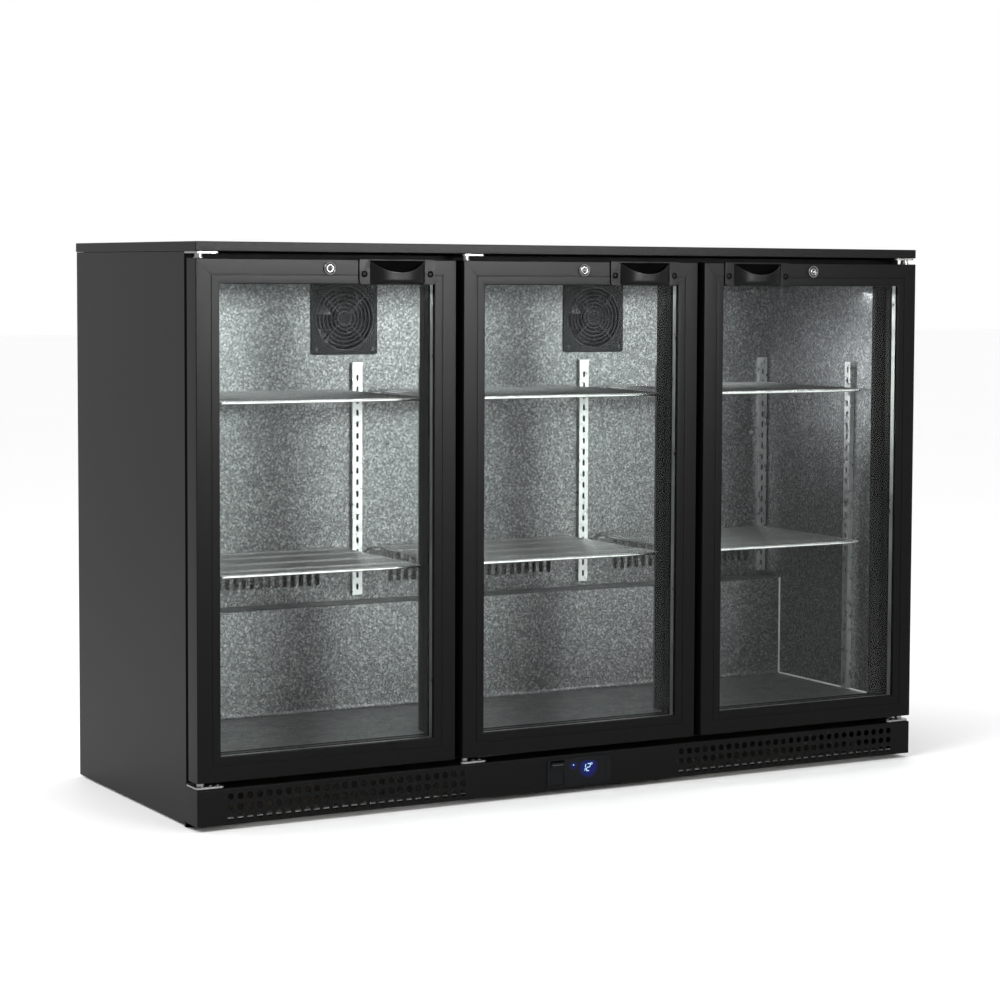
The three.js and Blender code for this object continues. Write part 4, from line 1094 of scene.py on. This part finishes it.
def fan_guard(side, x):
    """Square guard: frame, collar and motor mount in plastic, with rings and spokes of wire."""
    node = "fan_guard_" + side
    bm = bmesh.new()
    frame = [rectangle_loop((x - 62, x + 62), (FAN_Z - 62, FAN_Z + 62), 5, 6), circle_loop(x, FAN_Z, 55, 56)]
    add_sheet(bm, frame, (COVER_FRONT - 2.4, COVER_FRONT - 0.3), "xz", 0.4)
    collar = [(55, -0.5), (55, 20), (53.6, 20), (53.6, -0.5)]
    add_lathe(bm, collar, (x, COVER_FRONT, FAN_Z), "y", 56)
    add_lathe(bm, [(0, -1.2), (15, -1.2), (16, 0), (16, 6), (0, 6)], (x, COVER_FRONT, FAN_Z), "y", 32)
    add_lathe(bm, [(0, 5), (2.5, 5), (2.5, 28), (0, 28)], (x, COVER_FRONT, FAN_Z), "y", 16)
    for angle in (45, 135, 225, 315):
        ends = [on_circle(r, math.radians(angle)) for r in (14, 54)]
        add_tube(bm, [(x + a, COVER_FRONT + 2.4, FAN_Z + b) for a, b in ends], 2.2, 6)
    from_bmesh(node + "_frame", bm, M_FAN, "cabinet", [node])

    wires = bmesh.new()
    wire_y = COVER_FRONT - 3.2
    for radius in (12, 19, 26, 33, 40, 47, 54):
        loop = circle_loop(x, FAN_Z, radius, 48)
        add_tube(wires, [(a, wire_y, b) for a, b in loop + loop[:2]], 0.85, 6)
    for angle in (45, 135, 225, 315):
        ends = [on_circle(r, math.radians(angle)) for r in (11, 60)]
        add_tube(wires, [(x + a, wire_y + 1.3, FAN_Z + b) for a, b in ends], 0.9, 6)
    for dx in (-53, 53):
        for dz in (-53, 53):
            add_pan_head(wires, (x + dx, COVER_FRONT - 2.3, FAN_Z + dz), "y", 3.4, -1.4)
    from_bmesh(node + "_wires", wires, M_GUARD, "cabinet")


def rotor(node, body, centre, axis, radius, blades=5):
    """Axial fan: a domed hub and swept, twisted blades."""
    bm = bmesh.new()
    hub = 15
    add_lathe(bm, [(3.3, 0.4), (hub - 1.5, 0.4), (hub, 1.6), (hub, 17.6), (3.3, 17.6)], (0, 0, 0), "z", 36)
    steps, chords = 9, 7
    for blade in range(blades):
        sheets = []
        for thick in (-0.7, 0.7):
            grid = []
            for i in range(steps + 1):
                r = hub - 1 + (radius - hub + 1) * i / steps
                span = (r - hub) / (radius - hub)
                pitch = math.radians(44 - 22 * span)
                chord = 20 + 12 * math.sin(math.pi * (0.25 + 0.55 * span))
                sweep = 0.20 * span
                row = []
                for j in range(chords + 1):
                    s = (j / chords - 0.5) * chord
                    camber = 1.6 * (1 - (2 * j / chords - 1) ** 2)
                    angle = 2 * math.pi * blade / blades + sweep + s * math.cos(pitch) / r
                    height = 9 + s * math.sin(pitch) * 0.62 + camber + thick
                    row.append(bm.verts.new((*on_circle(r, angle), min(max(height, 0.6), 17.4))))
                grid.append(row)
            sheets.append(grid)
        low, high = sheets
        for grid in sheets:
            add_grid(bm, grid)
        for i in range(steps):
            for j in (0, chords):
                bm.faces.new((low[i][j], low[i + 1][j], high[i + 1][j], high[i][j]))
        for j in range(chords):
            for i in (0, steps):
                bm.faces.new((low[i][j], low[i][j + 1], high[i][j + 1], high[i][j]))
    bm.transform(Matrix.Translation(centre) @ AXES[axis])
    from_bmesh(node + "_rotor", bm, M_FAN, body, [node], sharp=40)


def coil():
    """Finned evaporator block with end plates, and straight tubes running through it."""
    (x0, x1), (y0, y1), (z0, z1) = spans("evaporator_coil")
    bm = bmesh.new()
    count = 160
    for i in range(count + 1):
        x = x0 + 6 + (x1 - x0 - 12.6) * i / count
        add_box(bm, (x, x + 0.6), (y0, y1 - 2), (z0 + 2, z1 - 2))
    for x in (x0 + 2, x1 - 3.5):
        add_box(bm, (x, x + 1.5), (y0, y1), (z0, z1), bevel=0.3)
    from_bmesh("coil_fins", bm, M_FINS, "cabinet", ["evaporator_coil"])
    bm = bmesh.new()
    for row in range(7):
        z = z0 + 20 + row * 29
        for y in (y0 + 18, y1 - 20):
            add_tube(bm, [(x0 + 1, y, z), (x1 - 1, y, z)], 4.2, 10)
    from_bmesh("coil_tubes", bm, M_COPPER, "cabinet")


def light_bar():
    """LED strip under the ceiling: a carrier with end caps and a rounded diffuser."""
    xs, ys, zs = spans("light_bar")
    low = max(zs[0], zs[1] - 4)
    bm = bmesh.new()
    add_box(bm, (xs[0] + 12, xs[1] - 12), (ys[0] + 1, ys[1] - 1), (low, zs[1] - 1.5), bevel=1.2, segments=3)
    from_bmesh("led_diffuser", bm, M_LED, "cabinet", ["light_bar"])
    bm = bmesh.new()
    add_box(bm, xs, ys, (zs[1] - 1.8, zs[1]), bevel=0.4)
    for x in (xs[0], xs[1] - 14):
        add_box(bm, (x, x + 14), ys, (low, zs[1] - 1), bevel=0.8)
    from_bmesh("led_carrier", bm, M_LINER_PLAIN, "cabinet")


# ------------------------------------------------------------------ machine compartment
def compressor():
    """Welded shell on rubber feet, with its terminal cover and two pipes."""
    (x0, x1), (y0, y1), (z0, _) = spans("compressor")
    x, y = (x0 + x1) / 2, (y0 + y1) / 2
    centre = (x, y, 0)
    shell = [(0, 12), (50, 12), (58, 20), (61, 34), (61.5, 84), (63, 86), (63, 92), (61.5, 94), (61.2, 124),
             (57, 148), (44, 166), (26, 175), (0, 177.5)]
    bm = bmesh.new()
    add_lathe(bm, shell, centre, "z", 56)
    add_box(bm, (x - 95, x + 95), (y - 22, y + 22), (z0, z0 + 4.5), bevel=1.5)
    foot = [(0, 4), (7, 4), (8, 6), (6, 9), (8, 12), (7, 14), (0, 14)]
    for dx in (-80, 80):
        for dy in (-14, 14):
            add_lathe(bm, foot, (x + dx, y + dy, z0), "z", 20)
    add_box(bm, (x + 52, x + 76), (y - 24, y + 24), (48, 116), bevel=4, segments=3)
    from_bmesh("compressor_shell", bm, M_COMPRESSOR, "cabinet", ["compressor"], sharp=40)
    pipes = bmesh.new()
    suction = [(x - 40, y + 20, 160), (x - 44, y + 24, 185), (x - 60, y + 26, 196), (x - 100, y + 26, 200),
               (x - 170, y + 26, 200)]
    add_tube(pipes, suction, 4, 12)
    discharge = [(x + 20, y - 40, 168), (x + 26, y - 44, 190), (x + 60, y - 44, 204), (40, y - 44, 204),
                 (96, y - 40, 200), (112, y - 30, 190), (122, y - 30, 180)]
    add_tube(pipes, discharge, 3, 12)
    from_bmesh("refrigerant_pipes", pipes, M_COPPER, "cabinet")


def condenser():
    """Finned block with its tubes, the fan's motor and the fan."""
    (x0, _), (y0, y1), (z0, z1) = spans("condenser")
    block_end = x0 + 44
    bm = bmesh.new()
    count = 62
    for i in range(count + 1):
        y = y0 + 3 + (y1 - y0 - 6.5) * i / count
        add_box(bm, (x0 + 1, block_end - 1), (y, y + 0.5), (z0 + 2, z1 - 2))
    for y in (y0, y1 - 1.4):
        add_box(bm, (x0, block_end), (y, y + 1.4), (z0, z1), bevel=0.3)
    from_bmesh("condenser_fins", bm, M_FINS, "cabinet", ["condenser"])
    bm = bmesh.new()
    for row in range(8):
        z = z0 + 16 + row * 26
        for x in (x0 + 12, x0 + 32):
            add_tube(bm, [(x, y0 + 0.5, z), (x, y1 - 0.5, z)], 4.2, 10)
    from_bmesh("condenser_tubes", bm, M_COPPER, "cabinet")
    bm = bmesh.new()
    motor = (x0, (y0 + y1) / 2, CONDENSER_FAN_Z)
    add_lathe(bm, [(0, 36), (14, 36), (16, 38), (16, 60), (14, 62), (0, 62)], motor, "x", 32)
    add_lathe(bm, [(0, 60), (2.5, 60), (2.5, 88), (0, 88)], motor, "x", 16)
    from_bmesh("condenser_motor", bm, M_COMPRESSOR, "cabinet")
    (fx0, _), (fy0, fy1), _ = spans("condenser_fan")
    rotor("condenser_fan", "fan_condenser", Vector((fx0, (fy0 + fy1) / 2, CONDENSER_FAN_Z)), "x", 55.8)


casing()
kick_panel()
back_panel()
floor_parts()
controls()
rocker()
for number in (1, 2, 3):
    door(number)
    hinges(number)
liner()
face_frame()
for bay in (1, 2, 3):
    for level in ("lower", "upper"):
        shelf(bay, level)
uprights()
evaporator()
light_bar()
compressor()
condenser()

# the foam shows only at the machine compartment's roof
foam = frame["nodes"]["insulation"]
foam.data.materials.clear()
foam.data.materials.append(M_FOAM)


# ------------------------------------------------------------------ camera, floor and light
def area_light(name, place, target, size, power, colour=(1, 1, 1)):
    """Adds a rectangular lamp that faces its target. Places and sizes are in metres."""
    lamp = bpy.data.lights.new(name, "AREA")
    lamp.shape = "RECTANGLE"
    lamp.size, lamp.size_y = size
    lamp.energy = power
    lamp.color = colour
    holder = bpy.data.objects.new(name, lamp)
    holder.location = place
    holder.rotation_euler = (Vector(target) - Vector(place)).to_track_quat("-Z", "Y").to_euler()
    bpy.context.scene.collection.objects.link(holder)
    return holder


bm = bmesh.new()
bmesh.ops.create_grid(bm, x_segments=1, y_segments=1, size=30)
mesh = bpy.data.meshes.new("studio_floor")
bm.to_mesh(mesh)
bm.free()
floor_look = Nodes("studio_floor")
floor_tone = floor_look.ramp(floor_look.noise(0.7, 2), [(0.3, (0.955,) * 3), (0.7, (0.965,) * 3)])
floor_look.set(Base_Color=floor_tone, Roughness=0.6)
mesh.materials.append(floor_look.material)
studio_floor = bpy.data.objects.new("studio_floor", mesh)
bpy.context.scene.collection.objects.link(studio_floor)

world = bpy.data.worlds.new("studio")
world.use_nodes = True
background = world.node_tree.nodes["Background"]
background.inputs["Color"].default_value = (1.0, 1.0, 1.0, 1)
background.inputs["Strength"].default_value = 1.0
bpy.context.scene.world = world
bpy.context.scene.view_settings.view_transform = "Standard"

area_light("key_left", (-3.2, -1.6, 2.9), (-0.5, -0.2, 0.7), (1.6, 1.6), 70)
area_light("top", (0, 0.2, 3.2), (0, 0, 0.9), (3.0, 2.0), 30)
sheen = area_light("front_sheen", (0.98, -3.46, 1.08), (-0.36, -0.26, 0.88), (1.6, 0.36), 7.5)
sheen.data.spread = math.radians(32)
for (x0, x1), power in zip(BAY_SPANS, (0.7, 0.9, 1.3)):
    lamp_x = (x0 + x1) / 2 * MM
    area_light("bay_light_%d" % round(x0), (lamp_x, (FRONT + 101) * MM, 0.826),
               (lamp_x, (FRONT + 130) * MM, 0.0), ((x1 - x0 - 30) * MM, 0.012), power, (0.97, 0.99, 1.0))
fill = area_light("bay_3_fill", (0.30, 0.08, 0.66), (0.62, 0.02, 0.63), (0.05, 0.12), 0.75, (0.98, 0.99, 1.0))
fill.data.spread = math.radians(110)

camera = bpy.data.cameras.new("camera")
camera.lens = 96.22
camera.shift_x = -0.1
camera.shift_y = -0.0474
view = bpy.data.objects.new("camera", camera)
view.location = (-2.19677, -4.03262, 0.85494)
view.rotation_euler = [math.radians(angle) for angle in (86.1687, -0.3683, -30.5380)]
bpy.context.scene.collection.objects.link(view)
bpy.context.scene.camera = view
